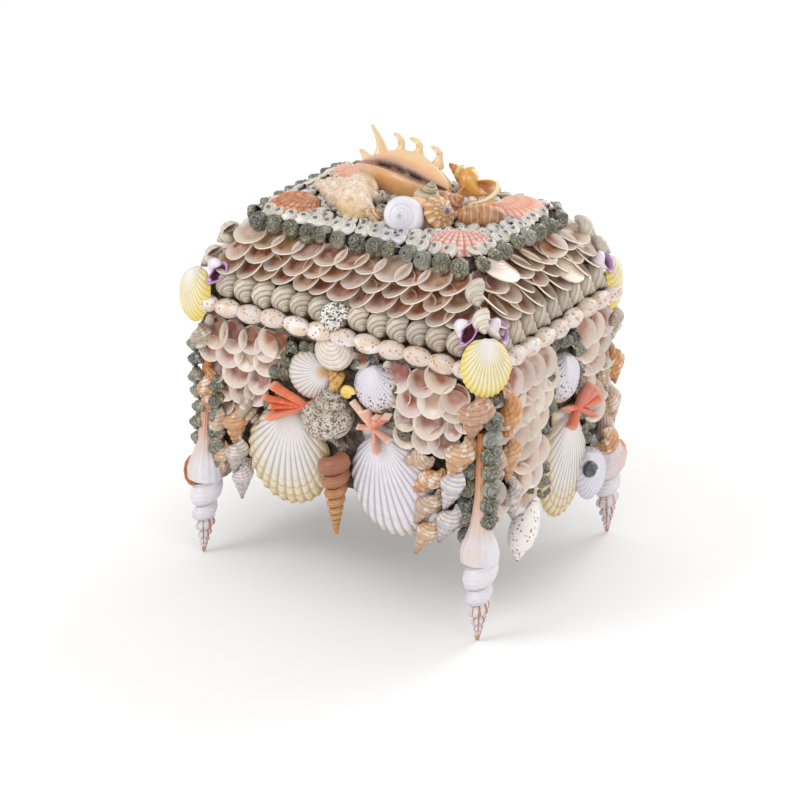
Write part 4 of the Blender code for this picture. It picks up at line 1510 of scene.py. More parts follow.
@dataclass
class LongWall(Wall):
    """The front or back: two scallops, the knobbly turban and turret between, and the clusters.

    Attributes:
        shift: Brings the clusters, whose places were read on the front plane, back onto the wall.
        left_clams, right_clams: Along, up and radius of the clam halves of each cluster.
        left_whelks, right_whelks: The whelks of each end, as whelks takes them.
        dark: The dark snails, as periwinkles takes them.
        red_sticks, peach_sticks: Along, up and width of the end of each stick of coral.
    """

    shift: Spot = (-3.7, -3.1)
    left_clams: tuple[Spot, ...] = (
        (-107, 193, 14), (-90, 192, 13), (-73, 193, 11), (-52, 197, 13), (-110, 178, 10), (-93, 178, 11),
        (-78, 178, 11), (-60, 178, 11), (-109, 162, 12), (-87, 165, 13), (-67, 162, 11), (-100, 148, 11),
        (-83, 150, 11), (-70, 150, 10), (-102, 135, 10), (-60, 190, 11),
    )
    right_clams: tuple[Spot, ...] = (
        (55, 196, 13), (76, 195, 11), (92, 203, 12), (105, 190, 11), (68, 178, 11), (85, 182, 12),
        (103, 183, 12), (63, 165, 11), (83, 166, 13), (103, 165, 8), (63, 150, 10), (80, 152, 11),
        (95, 153, 12), (56, 180, 10), (112, 174, 9),
    )
    left_whelks: tuple[Spot, ...] = (
        (-126, 193, -122, 163, 17, 0.45), (-120, 158, -116, 116, 19, 0.05), (-108, 129, -115, 84, 16, 0.3),
        (-92, 135, -94, 97, 21, 0.1), (-89, 139, -71, 120, 18, 0.4), (-91, 107, -97, 72, 19, 0.6),
        (-89, 86, -91, 53, 17, 0.72), (-106, 100, -112, 62, 15, 0.2),
    )
    right_whelks: tuple[Spot, ...] = (
        (121, 199, 116, 159, 27, 0.96), (112, 163, 98, 120, 24, 0.15), (107, 135, 92, 95, 21, 0.75),
        (104, 106, 88, 68, 21, 0.68), (84, 137, 52, 124, 17, 0.3), (92, 131, 63, 100, 19, 0.05),
        (88, 113, 65, 74, 19, 0.35), (86, 89, 67, 52, 18, 0.25),
    )
    dark: tuple[Spot, ...] = (
        (-39, 194, 6, 13), (-45, 181, 6, 13), (-48, 168, 6, 12), (-62, 140, 6, 13), (-52, 146, 5, 12),
        (17, 192, 6, 12), (30, 201, 5, 12), (48, 178, 5, 12), (45, 152, 6, 13), (57, 147, 6, 13),
        (-30, 196, 6, 11), (44, 165, 6, 12), (-58, 166, 5, 12), (-22, 194, 5, 11),
    )
    red_sticks: tuple[Spot, ...] = (
        (-54, 161, 8), (-61, 150, 6.5), (-54, 145, 9), (-58, 134, 9), (-12, 158, 7), (-38, 142, 6),
    )
    peach_sticks: tuple[Spot, ...] = (
        (17, 166, 5.5), (27, 160, 7), (38, 158, 7), (48, 162, 7), (37, 128, 6.5), (50, 142, 6), (24, 148, 6),
    )

    def build(self) -> None:
        """Builds the wall's pieces."""
        laid = self.face.laid
        fan = ((-47, 104, 3), (75, 9.5, 85), 8, 3)
        self.valve("banded_scallop", SCALLOP, fan, SCALLOP_FINISH, "scallop", "left")
        fan = ((45, 104.5, 3), (72, 9.5, 86), -14, 3)
        self.valve("lavender_scallop", SCALLOP, fan, WHITE_SCALLOP_FINISH, "scallop", "right")
        turret, turban = self.label("turret_pendant"), self.label("knobbly_turban")
        place = laid((0.5, 123, 13.5), (0, 49.5, 12), 29, 0)
        self.single(self.label("turret"), TURRET.mesh(), place, TURRET_FINISH, turret)
        stand = self.face.frame(-7, 118, 13) @ Matrix.Rotation(radians(9), 4, "Y")
        size = Matrix.Diagonal((54 * MM, 40 * MM, 58 * MM, 1))
        place = stand @ size @ Matrix.Rotation(radians(60), 4, "Z")
        self.single(self.label("turban"), CONE_TURBAN.mesh(), place, TURBAN_FINISH, turban)
        fan = ((-22.5, 174.5, 3), (40, 12.5, 42), 62, 6)
        self.valve("tan_edged_cockle", COCKLE, fan, WHITE_COCKLE_FINISH, "white_cockle")
        fan = ((33, 178, 4), (37, 12, 38), -4, 8)
        self.valve("dotted_cockle", COCKLE, fan, SPECKLED_COCKLE_FINISH, "speckled_cockle")
        for end, spots in (("left", self.left_clams), ("right", self.right_clams)):
            heap = Heap(3 + self.side)
            along, up = self.shift
            self.clams(heap, ((x + along, z + up, radius) for x, z, radius in reversed(spots)))
            self.keep(heap, self.label("clams", end), CLAM_FINISH, self.label("clam_cluster", end))
        self.whelks("left", self.left_whelks)
        self.whelks("right", self.right_whelks)
        self.periwinkles(self.dark)
        self.coral("red_coral", CORAL_RED, (-24, 152, 14), self.red_sticks)
        self.coral("peach_coral", CORAL_PEACH, (35, 149, 14), self.peach_sticks)
        self._middle()

    def _middle(self) -> None:
        """Builds the golden snails, the yellow shell and the ridged clam over the turban."""
        laid = self.face.laid
        heap = Heap(5)
        heap.add(SNAIL.mesh(), laid((9, 174, 12), (-2, 187, 15), 20, 0), 0.2)
        heap.add(SNAIL.mesh(), laid((4, 186, 4), (-6, 189, 13), 13, 10), 1.0)
        self.keep(heap, self.label("golden_snails"), GOLD_FINISH)
        place = laid((13.5, 173, 12), (14, 172, 19), 14)
        self.single(self.label("yellow_piece"), BUTTON.mesh(), place, YELLOW_PIECE_FINISH)
        self.valve("ridged_clam", RIDGED_CLAM, ((0, 200, 10), (32, 9, 28), 0, 20), RIDGED_FINISH)
        heap = Heap(8)
        self.clams(heap, ((-14, 196, 11), (21, 199, 8)))
        self.keep(heap, self.label("middle_clams"), CLAM_FINISH)


@dataclass
class ShortWall(Wall):
    """The right or left wall: one scallop, a cockle in its arch and a ribbed shell.

    Attributes:
        near_whelks, far_whelks: The whelks of each end, as whelks takes them.
        corner_clams: Along, up and radius of the clam halves in a column at the near corner.
        dark: The dark snails, as periwinkles takes them.
        pink_sticks: Along, up and width of the end of each stick of coral.
    """

    near_whelks: tuple[Spot, ...] = (
        (-77, 195, -62, 144, 25, 0.0), (-65, 152, -61, 112, 20, 0.1), (-63, 119, -51, 78, 20, 0.6),
        (-78, 148, -77, 112, 16, 0.4),
    )
    far_whelks: tuple[Spot, ...] = (
        (90, 199, 99, 168, 18, 0.5), (86, 166, 104, 128, 20, 0.0), (84, 135, 103, 94, 20, 0.3),
        (78, 99, 106, 60, 21, 0.05), (78, 160, 82, 128, 16, 0.3),
    )
    corner_clams: tuple[Spot, ...] = (
        (-76, 190, 11), (-80, 174, 11), (-75, 160, 10), (-80, 144, 10), (-76, 128, 10), (-79, 112, 10),
        (-70, 100, 10), (-77, 93, 9),
    )
    dark: tuple[Spot, ...] = (
        (26, 194, 6, 13), (38, 190, 6, 13), (44, 178, 6, 13), (45, 164, 6, 13), (48, 150, 6, 12),
        (50, 136, 6, 12), (52, 124, 6, 12), (56, 110, 6, 12), (62, 98, 6, 12), (4, 196, 6, 12),
        (-3, 90, 6, 12), (0, 78, 5, 12), (2, 184, 6, 12), (-3, 102, 6, 12), (16, 197, 5, 12),
        (4, 171, 5, 12), (3, 158, 5, 12), (0, 145, 5, 12), (-3, 132, 5, 12), (-6, 119, 5, 12),
        (10, 146, 4, 11), (38, 148, 4, 11), (-14, 92, 5, 12), (-24, 92, 5, 12), (-76, 182, 4, 12),
        (-80, 168, 4, 12), (-70, 158, 4, 12), (-80, 134, 4, 12), (-72, 122, 4, 12), (-70, 104, 4, 12),
        (-60, 98, 4, 12), (-76, 92, 4, 12), (-50, 104, 4, 12), (74, 92, 4, 12), (70, 108, 4, 12),
    )
    pink_sticks: tuple[Spot, ...] = (
        (54, 148, 7), (62, 141, 7), (66, 132, 7), (60, 120, 7), (16, 142, 6), (22, 124, 6),
    )

    def build(self) -> None:
        """Builds the wall's pieces."""
        fan = ((28, 91, 3), (68, 9.5, 87), 8, 3)
        self.valve("banded_scallop", SCALLOP, fan, SCALLOP_FINISH, "scallop")
        fan = ((24, 164, 3), (36, 12, 38), 0, 8)
        self.valve("dotted_cockle", COCKLE, fan, SPECKLED_COCKLE_FINISH, "side_cockle")
        fan = ((60, 71, 10), (38, 10.5, 42), -14, 7)
        self.valve("ribbed_shell", COCKLE, fan, RIBBED_FINISH, "side_ribbed_shell")
        near = [*self.cluster(-60, -3, -34, 124), *self.corner_clams]
        for end, spots in (("near", near), ("far", self.cluster(46, 82, 72, 104))):
            heap = Heap(11 + self.side)
            self.clams(heap, reversed(spots))
            self.keep(heap, self.label("clams", end), CLAM_FINISH, self.label("clam_cluster", end))
        self.whelks("near", self.near_whelks)
        mirrored = [(-x0, z0, -x1, *rest) for x0, z0, x1, *rest in self.near_whelks]
        self.whelks("far", self.far_whelks if self.side == 1 else mirrored)
        self.periwinkles(self.dark)
        self.coral("pink_coral", CORAL_PINK, (36, 136, 12), self.pink_sticks)
        place = self.face.laid((-42, 94, 12), (-49, 43, 11), 27, 60)
        self.single(self.label("dotted_cone"), CASK.mesh(), place, DOTTED_CONE_FINISH)
        place = self.face.laid((50, 79, 13), (46, 80, 22.5), 16, 0)
        self.single(self.label("nerite"), MOON.mesh(), place, NERITE_FINISH)


@dataclass
class CornerSnails(Assembly):
    """Dark round snails in columns beside the canals of the feet.

    Attributes:
        outer, inner: Levels of the snails in each column.
        outer_foot, inner_foot: How far each column stands from the middle, along and across the box.
        core: What the snails turn their backs to, in the same way.
        girth, length: Size of a snail.
    """

    outer: tuple[float, ...] = (96, 109, 122, 135, 148, 161, 174)
    inner: tuple[float, ...] = (80, 93, 106, 119, 132, 145)
    outer_foot: Spot = (129.6, 93)
    inner_foot: Spot = (112, 94)
    core: Spot = (110, 80)
    girth: float = 19.0
    length: float = 14.0

    def build(self) -> None:
        """Builds the columns of all corners as one piece; the back corners have the inner one alone."""
        heap = Heap(17)
        size = Matrix.Diagonal((self.girth * MM, self.girth * MM, self.length * MM, 1))
        columns = ((self.outer, self.outer_foot), (self.inner, self.inner_foot))
        for _, sx, sy in CORNERS:
            for levels, (x, y) in columns if sy < 0 else columns[1:]:
                for level in levels:
                    middle = Vector((sx * (x + heap.wobble(1.5)), sy * (y + heap.wobble(1.5)), level)) * MM
                    away = (sx * (x - self.core[0]), sy * (y - self.core[1]) * 1.2, heap.wobble(6))
                    aim = Vector(away).normalized()
                    lean = aim.to_track_quat("Z", "Y").to_matrix().to_4x4()
                    place = Matrix.Translation(middle - aim * self.length / 2 * MM) @ lean @ size
                    heap.add(ROUND_SNAIL.mesh(), place)
        self.keep(heap, "corner_periwinkles", DARK_FINISH)


@dataclass(frozen=True)
class Row:
    """How the shells of a row lie on their face, each from its own place along it.

    Attributes:
        pitch: Distance from shell to shell.
        start: Along from that place, up and out of a shell's wide end.
        tip: The same of its tip.
        girth: Its width.
    """

    pitch: float
    start: Spot
    tip: Spot
    girth: float


@dataclass
class LidRows(Assembly):
    """The rows of small shells and courses of clam halves on the lid.

    Attributes:
        barrels, snails, darks: The barrel shells, the grey and the dark snails.
        clam: Pitch of the clam halves.
        clam_size, broad: Their width, and how much broader they are on the right.
        dome, turned: Their dome, hollow side out, and that of those that lie hollow side in.
        courses: Level up the slope, lift and lean of each course of clams.
        button: Pitch of the flat snails round the top.
        rings: Inset and width of the flat snails in each ring.
        bed, bed_pitch: How many fill the top along and across it, and their pitch both ways.
        mouths: From the slope's end, up and out of a purple-mouthed snail's wide end and of its tip.
        hips: The same of each snail on a hip, and its width.
    """

    barrels: Row = Row(20, (-11, 214, 6.5), (11, 214, 6.5), 15.5)
    snails: Row = Row(17, (-5, 26, -0.5), (7, 9.5, 10), 26)
    darks: Row = Row(15, (0, 70.5, -0.5), (0, 71.5, 14), 18.5)
    clam: float = 17.2
    clam_size: float = 27.0
    broad: float = 1.16
    dome: float = -5.5
    turned: float = 6.0
    courses: tuple[Spot, ...] = ((37.5, 34, 30), (48.5, 36, 28), (60, 42, 8))
    button: float = 10.6
    rings: tuple[Spot, ...] = ((1.5, 15.5), (11.5, 14.5))
    bed: tuple[int, int] = (16, 7)
    bed_pitch: Spot = (9.8, 13.5)
    mouths: tuple[Spot, ...] = ((14, 16, 17.5), (18, 36, 13))
    hips: tuple[tuple[Spot, Spot, float], ...] = (
        ((24, 62.5, 6), (11, 47, 13), 20), ((14, 43.5, 6), (1, 29.5, 13), 18),
    )

    def spread(self, reach: float, pitch: float) -> list[float]:
        """Places at even distances over a stretch from -reach to reach."""
        count = max(1, round(2 * reach / pitch))
        return [reach * (2 * (i + 0.5) / count - 1) for i in range(count)]

    def build(self) -> None:
        """Builds the rows."""
        self._row("barrels", pod(), BARREL_FINISH, "lid_barrel_row", self._barrel)
        self._row("grey_snails", LOW_SNAIL.mesh(), GREY_FINISH, "lid_snail_row", self._snail)
        self._row("dark_snails", ROUND_SNAIL.mesh(), DARK_FINISH, "lid_dark_snail_row", self._dark)
        self._row("clam_courses", CLAM.mesh(), BAND_CLAM_FINISH, "lid_clam_band", self._clam)
        self._buttons()
        self._corner_snails()

    def _row(self, name: str, shell: bpy.types.Mesh, finish: Finish, node: str, places: Callable) -> None:
        """Builds one row round the lid.

        Args:
            name: The piece's name.
            shell: The mesh of its shells.
            finish: Their finish.
            node: The frame's node that it stands for.
            places: Gives the matrices of one side's shells, from the heap and the side.
        """
        heap = Heap(len(name))
        for side in range(4):
            heap.bed = (slope(side), -2.0)
            for place in places(heap, side):
                heap.add(shell, place)
        self.keep(heap, "lid_" + name, finish, node)

    def _barrel(self, heap: Heap, side: int) -> Iterable[Matrix]:
        """Places the barrel shells along one side of the lid's edge, end to end.

        Args:
            heap: The row's heap.
            side: The side.

        Yields:
            The matrix of each.
        """
        row = self.barrels
        rim = Face(outward(side) * LID_HALVES[1 - side % 2] * MM, UP, outward(side))
        for along in self.spread(LID_HALVES[side % 2], row.pitch):
            hand = 1 if heap.dice.random() < 0.5 else -1
            start = (along + row.start[0] * hand, row.start[1] + heap.wobble(1.2), row.start[2])
            tip = (along + row.tip[0] * hand, row.tip[1] + heap.wobble(1.2), row.tip[2])
            yield rim.laid(start, tip, row.girth, heap.dice.uniform(0, 360))

    def _snail(self, heap: Heap, side: int) -> Iterable[Matrix]:
        """Places the grey snails above them, tips to the lower right.

        Args:
            heap: The row's heap.
            side: The side.

        Yields:
            The matrix of each.
        """
        row = self.snails
        for along in self.spread(LID_HALVES[side % 2] - 15, row.pitch):
            start = (along + row.start[0], row.start[1] + heap.wobble(1), row.start[2])
            tip = (along + row.tip[0] + heap.wobble(1), row.tip[1] + heap.wobble(1), row.tip[2])
            yield slope(side).laid(start, tip, row.girth, heap.wobble(25))

    def _dark(self, heap: Heap, side: int) -> Iterable[Matrix]:
        """Places the dark snails under the top's edge, spirals outward.

        Args:
            heap: The row's heap.
            side: The side.

        Yields:
            The matrix of each.
        """
        row = self.darks
        for along in self.spread(LID_HALVES[side % 2] - LID_INSET + 4, row.pitch):
            shift = heap.wobble(1)
            start = (along, row.start[1] + shift, row.start[2])
            tip = (along + heap.wobble(2), row.tip[1] + shift, row.tip[2])
            yield slope(side).laid(start, tip, row.girth + heap.wobble(0.8), heap.dice.uniform(0, 360))

    def _clam(self, heap: Heap, side: int) -> Iterable[Matrix]:
        """Places the courses of clam halves, rims out and down towards the front right corner.

        Args:
            heap: The row's heap.
            side: The side; on the right some lie hollow side in.

        Yields:
            The matrix of each.
        """
        hand = 1 if side % 2 else -1
        for up, lift, lean in self.courses:
            reach = LID_HALVES[side % 2] - LID_INSET * up / LID_SLOPE + 1
            for along in self.spread(reach, self.clam):
                spot = (along + heap.wobble(1.5), up + heap.wobble(1.5), 9.5)
                wide = (self.clam_size + heap.wobble(2)) * (self.broad if side == 1 else 1)
                dome = self.turned if side == 1 and heap.dice.random() < 0.2 else self.dome
                roll = hand * (lean + heap.wobble(8))
                size = (wide, dome, 0.94 * wide)
                yield slope(side).fan(spot, size, roll, lift + heap.wobble(5), heap.wobble(8))

    def _buttons(self) -> None:
        """Builds two rings of flat snails on the border of the lid's top and a bed of them inside."""
        heap = Heap(23)
        for inset, girth in self.rings:
            for side in range(4):
                half = LID_HALVES[side % 2] - LID_INSET - inset
                across = LID_HALVES[1 - side % 2] - LID_INSET - inset
                edge = Face(UP * TOP * MM, -outward(side), UP)
                outer = inset == self.rings[0][0]
                places = self.spread(half, self.button)[:-1] if outer else self.spread(half - 4, self.button)
                for along in places:
                    start = (along + heap.wobble(1), heap.wobble(1) - across, 0.5)
                    tip = (along + heap.wobble(1.5), heap.wobble(1.5) - across - 3, 6.3)
                    heap.add(BUTTON.mesh(), edge.laid(start, tip, girth, heap.dice.uniform(0, 360)))
        columns, rows = self.bed
        for i in range(columns * rows):
            along = (i % columns - (columns - 1) / 2) * self.bed_pitch[0] + heap.wobble(3)
            across = (i // columns - (rows - 1) / 2) * self.bed_pitch[1] + heap.wobble(4)
            tip = (along + heap.wobble(4), across + heap.wobble(4), 7)
            place = LID_TOP.laid((along, across, -1), tip, 15, heap.dice.uniform(0, 360))
            heap.add(BUTTON.mesh(), place)
        self.keep(heap, "lid_buttons", BUTTON_FINISH)

    def _corner_snails(self) -> None:
        """Builds the purple-mouthed snails beside the corner cockles and the cream snails up the hips."""
        purple, cream = Heap(29), Heap(37)
        for side in range(4):
            face, half = slope(side), LID_HALVES[side % 2]
            for hand in (-1, 1):
                mouth, tip = ((hand * (half - inset) - 2, up, out) for inset, up, out in self.mouths)
                purple.add(MOUTH_SNAIL.mesh(), face.laid(mouth, tip, 24, 180), 0.5)
            for *ends, girth in self.hips:
                start, tip = ((half - inset, up, out) for inset, up, out in ends)
                cream.add(LOW_SNAIL.mesh(), face.laid(start, tip, girth, 10))
        self.keep(purple, "purple_mouthed_snails", PURPLE_FINISH)
        self.keep(cream, "hip_snails", CREAM_FINISH)


@dataclass
class CornerCockles(Assembly):
    """A yellow cockle over each lower corner of the lid; the back right one stands further in.

    Attributes:
        size: Width, dome and length.
        out: How far out of the corner a cockle stands.
        sink: How much further in the back right one stands.
        spot: Along, up and out of the rim's middle, from there.
        lift: How far its rim lifts off, in degrees; back_lift is that of the back right one.
    """

    size: Spot = (36.0, 12.0, 42.0)
    out: float = 5.0
    sink: float = 4.0
    spot: Spot = (0, 10.4, -4.0)
    lift: float = 14.0
    back_lift: float = 8.0

    def build(self) -> None:
        """Builds the four cockles."""
        for name, sx, sy in CORNERS:
            hidden = sx + sy == 2
            across = 2 if hidden else 0.45 if sx * sy > 0 else 1
            heading = Vector((sx * across, sy, 0)).normalized()
            knee = Vector((sx * LID_HALVES[0], sy * LID_HALVES[1], KNEE)) * MM
            face = Face(knee + heading * (self.out - self.sink * hidden) * MM, UP, heading)
            place = face.fan(self.spot, self.size, 0, self.back_lift if hidden else self.lift)
            nodes = ["yellow_cockle_" + name]
            self.single("cockle_" + name, YELLOW_COCKLE.mesh(), place, YELLOW_COCKLE_FINISH, *nodes)


@dataclass
class LidFans(Assembly):
    """A fan on each corner of the lid's top.

    Attributes:
        size: Width, dome and length.
        middle: Where a fan lies from the top's middle, along and across.
        push: How far it is pushed out the way it heads.
        level: How far out of the top it lies.
    """

    size: Spot = (46.0, 9.5, 43.0)
    middle: Spot = (71.0, 40.0)
    push: float = 1.4
    level: float = 0.8

    def build(self) -> None:
        """Builds the four fans."""
        for name, sx, sy in CORNERS:
            heading = Vector((sx * (4 if sx + sy > 1 else 0.6), sy, 0)).normalized()
            roll = degrees(atan2(-heading.x, -heading.y))
            x, y = sx * self.middle[0] + heading.x * self.push, sy * self.middle[1] + heading.y * self.push
            finish = (CORAL_FAN_FINISH if sx > 0 else BROWN_FAN_FINISH) if sy < 0 else ORANGE_FAN_FINISH
            place = LID_TOP.fan((x, y, self.level), self.size, roll)
            self.single("fan_" + name, LID_FAN.mesh(), place, finish, "lid_fan_" + name)


@dataclass
class SpiderConch(Assembly):
    """The big orange conch, its slit to the front and its fingers up.

    Attributes:
        left: Its pointed end.
        right: Its wide end.
        radius: Half its width where it is widest.
        profile: Angle and reach of each corner of its cross-section, from under it round the front.
        stations: Place along it, size and turn of each section.
        fingers: Root, bend, tip and width of each finger.
        taper: Width of a finger against that, from its root to its tip.
    """

    left: Spot = (-63, 30, 16)
    right: Spot = (21, 26, 12)
    radius: float = 20.0
    profile: tuple[Spot, ...] = (
        (268, 1.0), (246, 1.0), (224, 1.0), (204, 1.0), (186, 1.0), (170, 1.0), (157, 1.02), (147, 0.98),
        (141, 0.72), (136, 0.62), (131, 0.74), (128, 0.95), (119, 1.0), (107, 1.0), (95, 1.01), (83, 1.05),
        (74, 1.08), (70, 1.0), (66, 0.86), (48, 0.84), (22, 0.92), (352, 1.0), (322, 1.0), (294, 1.0),
    )
    stations: tuple[Spot, ...] = (
        (0.0, 0.12, -8), (0.06, 0.3, -8), (0.15, 0.52, -6), (0.26, 0.72, -4), (0.38, 0.9, -1), (0.5, 1.0, 2),
        (0.62, 1.02, 6), (0.73, 0.96, 10), (0.83, 0.82, 15), (0.91, 0.62, 19), (0.97, 0.4, 22),
        (1.0, 0.2, 22),
    )
    fingers: tuple[tuple[Spot, Spot, Spot, float], ...] = (
        ((-55, 32, 20), (-62, 34, 26), (-66, 36, 25.5), 7.0),
        ((-43, 33, 26), (-45, 34, 38), (-55, 36, 48), 9.5),
        ((-29, 35, 28), (-26, 36, 42), (-36, 37, 44), 8.5),
        ((-14, 36, 29), (-10, 37, 42), (-22.5, 38, 42.2), 8.5),
        ((3, 36, 24), (8, 37, 38), (-3.5, 38, 39.2), 8.5),
    )
    taper: tuple[float, ...] = (2.2, 1.5, 1.15, 0.98, 0.88, 0.74, 0.66, 0.5, 0.28)

    def build(self) -> None:
        """Builds the body and the fingers as one piece."""
        heap = Heap()
        growth = Growth(len(self.profile))
        left, right = Vector(self.left), Vector(self.right)
        growth.tube(
            (share, self._section(left.lerp(right, share), size * self.radius, turn))
            for share, size, turn in self.stations
        )
        heap.add(growth.finish("conch_body"), Matrix.Translation((0, 0, TOP * MM)))
        for root, bend, tip, girth in self.fingers:
            heap.add(self._finger(root, bend, tip, girth))
        skin = ConchFinish("spider_conch_skin", "orange_conch")
        self.keep(heap, "orange_conch", skin, "spider_conch", smooth=1)

    def _section(self, middle: Vector, radius: float, turn: float) -> list[Vector]:
        """The corners of one cross-section, kept above the lid's top.

        Args:
            middle: Its middle, in steps.
            radius: Its radius.
            turn: Its turn, in degrees.

        Returns:
            The corners, in metres.
        """
        places = []
        for angle, reach in self.profile:
            way = radians(angle + turn)
            place = middle + Vector((0, cos(way), sin(way))) * reach * radius
            place.z = max(place.z, 0.2)
            places.append(place * MM)
        return places

    def _finger(self, root: Spot, bend: Spot, tip: Spot, girth: float) -> bpy.types.Mesh:
        """A finger that rises from the lip and hooks over at its tip.

        Args:
            root: Where it leaves the lip, on the lid's top.
            bend: Where it bends.
            tip: Where it ends.
            girth: Its width.

        Returns:
            Its mesh, in place and with the lip's colours.
        """
        root, bend, tip = (LID_TOP.at(*spot) for spot in (root, bend, tip))
        path = interpolate_bezier(root, root.lerp(bend, 0.7), bend, tip, len(self.taper))
        mesh = rod(path, [girth * MM * share for share in self.taper], 8, 0.8)
        for corner in mesh.uv_layers[Growth.MAP].data:
            corner.uv = (0.66 + 0.07 * corner.uv.y, 0.5)
        return mesh


@dataclass
class TopShells(Assembly):
    """The single shells on the lid's top.

    Attributes:
        bumpy: Wide end, tip, width and tint of each bumpy snail.
        striped: Wide end, tip and width of each small chequered snail.
    """

    bumpy: tuple[tuple[Spot, Spot, float, float], ...] = (
        ((30, 6, 8), (44, 8, 17), 21, 0.0), ((-4, -42, 5), (4, -38, 13), 20, 1.0),
    )
    striped: tuple[tuple[Spot, Spot, float], ...] = (
        ((-24, 0, 4), (-20, -2, 13), 14), ((42, 54, 2), (46, 58, 10), 12), ((62, -26, 2), (70, -29, 9), 12),
        ((-8, -46, 2), (-4, -47, 8), 11), ((58, 22, 2), (62, 20, 9), 12),
    )

    def build(self) -> None:
        """Builds each shell in its place."""
        laid = LID_TOP.laid
        heap = Heap(3, (LID_TOP, 0.1))
        heap.add(CONCH.mesh(), laid((0, -33, 10), (-75, -12, 12), 42, -20), 0.5)
        heap.add(TURBAN.mesh(), laid((-18, -22, 6), (-30, -8, 17), 22, 0), 0.2)
        self.keep(heap, "rough_pink_conch", ROUGH_FINISH, "rough_conch")
        heap = Heap(4, (LID_TOP, 0.1))
        heap.add(CONCH.mesh(), laid((46, 42, 9), (3, 54, 22), 28, 210), 0.5)
        self._add_lip(heap)
        self.keep(heap, "glossy_conch", YELLOW_CONCH_FINISH, "yellow_conch", smooth=1)
        place = laid((17, -31, 9), (24, -47, 16), 36, 300)
        self.single("lavender_moon", MOON.mesh(), place, MOON_FINISH, "moon_shell")
        self.single("orange_disc", MOON.mesh(), laid((22, -22, 10), (27, -33, 13), 35, 200), DISC_FINISH)
        self.single("tan_oliva", pod(), laid((-47, 6, 17), (-23, -8, 13), 15, 90), TONGUE_FINISH)
        place = laid((36, -20, 8), (50, -24, 18), 33, 30)
        self.single("ribbed_orange_turban", ROUND_SNAIL.mesh(), place, RIBBED_TURBAN_FINISH, "ribbed_turban")
        place = laid((19, -8, 7), (26, -5, 30), 27, 60)
        self.single("striped_cream_snail", SNAIL.mesh(), place, STRIPED_SNAIL_FINISH, "striped_snail")
        heap = Heap(9)
        heap.add(pod(), laid((50, -10, 9), (78, 9, 9), 21, 40), 0.5)
        heap.add(TURBAN.mesh(), laid((64, 4, 8), (68, 12, 19), 17, 0), 0.5)
        self.keep(heap, "streaked_cask", CASK_FINISH, "brown_cask")
        self._small()

    def _add_lip(self, heap: Heap) -> None:
        """Adds the yellow conch's flared lip: a shallow bowl with a thick rim along its near side.

        Args:
            heap: The conch's heap.
        """
        out = Vector((0.45, -0.7, 0.6)).normalized()
        bowl = Face(LID_TOP.at(38, 37, 11), (UP - out * out.z).normalized(), out)
        heap.add(CLAM.mesh(), bowl.fan((0, 0, 0), (36, -9, 20), -20, 8), 0.5)
        tilt = Matrix.Rotation(radians(20), 2)
        rim = [tilt @ Vector((17 * cos(t), 9 * sin(t))) for t in (0.3, -0.2, -0.7, -1.2, -1.7, -2.3)]
        path = [bowl.at(spot.x, spot.y, 3.5) for spot in rim]
        heap.add(rod(path, [girth * MM for girth in (2.5, 4, 5, 5, 4, 2.5)], 8, 0.6, 0), None, 0.5)

    def _small(self) -> None:
        """Builds the small snails between them, and the chequered one on the front slope."""
        bumpy = Heap(6)
        for start, tip, girth, tint in self.bumpy:
            bumpy.add(TURBAN.mesh(), LID_TOP.laid(start, tip, girth, 40), tint)
        self.keep(bumpy, "small_bumpy_snails", BUMPY_FINISH)
        striped = Heap(7)
        for start, tip, girth in self.striped:
            striped.add(SNAIL.mesh(), LID_TOP.laid(start, tip, girth, 10))
        striped.add(ROUND_SNAIL.mesh(), slope(0).laid((-1, 16, 5), (3, 13, 22), 28, 10))
        self.keep(striped, "small_striped_snails", CHEQUER_FINISH)


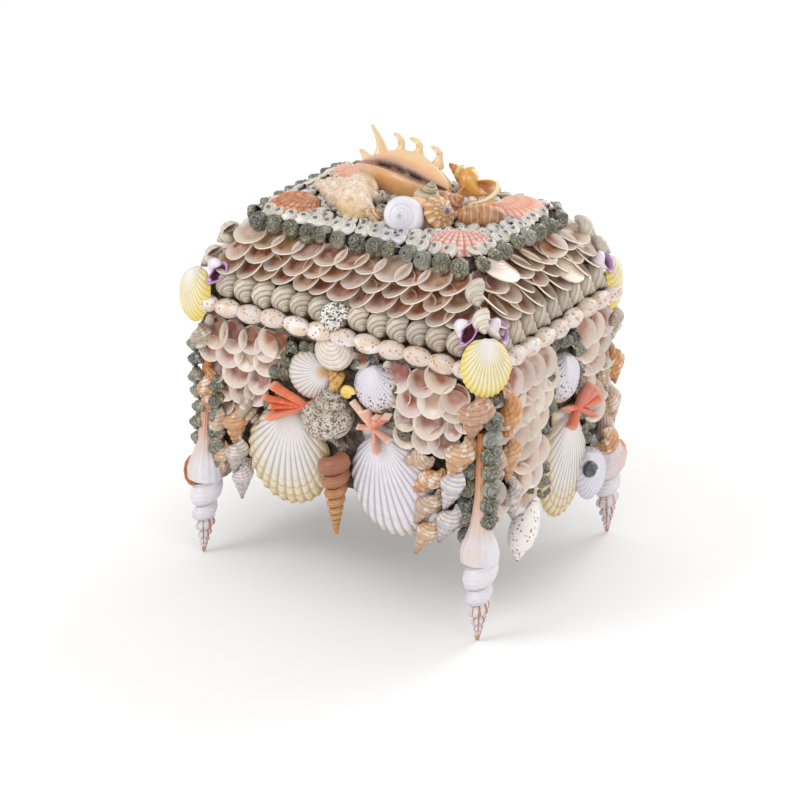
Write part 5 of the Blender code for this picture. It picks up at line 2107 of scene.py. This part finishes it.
@dataclass
class Studio:
    """The plain pale floor, the soft lights and the camera.

    Attributes:
        target: The point that the camera looks at.
        azimuth: The camera's angle from the front, in degrees, and elevation its angle from level.
        distance: How far the camera stands from the target.
        lens: Its focal length in millimetres.
        shift: Its shift, which the photograph's framing needs.
        air: Strength of the world's light.
        lights: Name, place, size and power of each soft light.
    """

    target: Spot = (0.0, 0.0, 0.13)
    azimuth: float = 32.73
    elevation: float = 24.74
    distance: float = 1.7667
    lens: float = 103.73
    shift: Spot = (-0.00875, -0.009875)
    air: float = 0.8
    lights: tuple[tuple[str, Spot, float, float], ...] = (
        ("key", (-1.2, -1.6, 2.0), 1.2, 16),
        ("fill", (1.9, -1.2, 1.1), 1.6, 5),
        ("low_left", (-1.5, -1.9, 0.8), 1.2, 6),
        ("low_right", (2.1, -0.9, 0.75), 1.2, 4),
        ("back", (0.6, 1.8, 1.6), 1.4, 10),
        ("low_back", (0.3, 2.1, 0.8), 1.2, 10),
    )

    def build(self) -> None:
        """Builds the studio."""
        scene = bpy.context.scene
        scene.view_settings.view_transform = "Standard"
        world = bpy.data.worlds.new("studio_air")
        world.use_nodes = True
        air = world.node_tree.nodes["Background"]
        air.inputs["Color"].default_value = (1, 1, 1, 1)
        air.inputs["Strength"].default_value = self.air
        scene.world = world
        self._floor()
        for light in self.lights:
            self._light(*light)
        self._camera()

    def _floor(self) -> None:
        """Lays the floor."""
        bm = bmesh.new()
        bmesh.ops.create_grid(bm, x_segments=2, y_segments=2, size=4)
        mesh = bpy.data.meshes.new("floor")
        bm.to_mesh(mesh)
        bm.free()
        floor = bpy.data.objects.new("floor", mesh)
        bench = Bench("floor_paper")
        grain = bench.noise(2 * MM)
        bench.dress(hue("fdfdfd"), 0.9, grain, 0.05 * MM)
        mesh.materials.append(bench.material)
        bpy.context.scene.collection.objects.link(floor)

    def _light(self, name: str, place: Spot, size: float, power: float) -> None:
        """Hangs a square soft light that faces the target.

        Args:
            name: Its name.
            place: Where it hangs, in metres.
            size: Its width.
            power: Its power, in watts.
        """
        lamp = bpy.data.lights.new(name, "AREA")
        lamp.size = size
        lamp.energy = power
        holder = bpy.data.objects.new(name, lamp)
        holder.location = place
        holder.rotation_euler = (Vector(self.target) - Vector(place)).to_track_quat("-Z", "Y").to_euler()
        bpy.context.scene.collection.objects.link(holder)

    def _camera(self) -> None:
        """Sets the camera up."""
        turn, rise = radians(self.azimuth), radians(self.elevation)
        back = Vector((sin(turn) * cos(rise), -cos(turn) * cos(rise), sin(rise)))
        lens = bpy.data.cameras.new("camera")
        lens.lens = self.lens
        lens.sensor_width = 36
        lens.shift_x, lens.shift_y = self.shift
        camera = bpy.data.objects.new("camera", lens)
        camera.location = Vector(self.target) + back * self.distance
        camera.rotation_euler = back.to_track_quat("Z", "Y").to_euler()
        bpy.context.scene.collection.objects.link(camera)
        bpy.context.scene.camera = camera


def main() -> None:
    """Builds the sub-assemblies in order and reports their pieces."""
    logging.basicConfig(level=logging.INFO, format="%(message)s")
    assemblies = [Carcass(), SpindleFeet(), CornerSnails()]
    assemblies += [LongWall(side=0), ShortWall(side=1, facing=-20)]
    assemblies += [LongWall(side=2), ShortWall(side=3, facing=20)]
    assemblies += [LidRows(), CornerCockles(), LidFans(), SpiderConch(), TopShells()]
    for assembly in assemblies:
        assembly.build()
        LOG.info("%s: %d pieces", type(assembly).__name__, assembly.pieces)
    Studio().build()


if __name__ == "__main__":
    main()
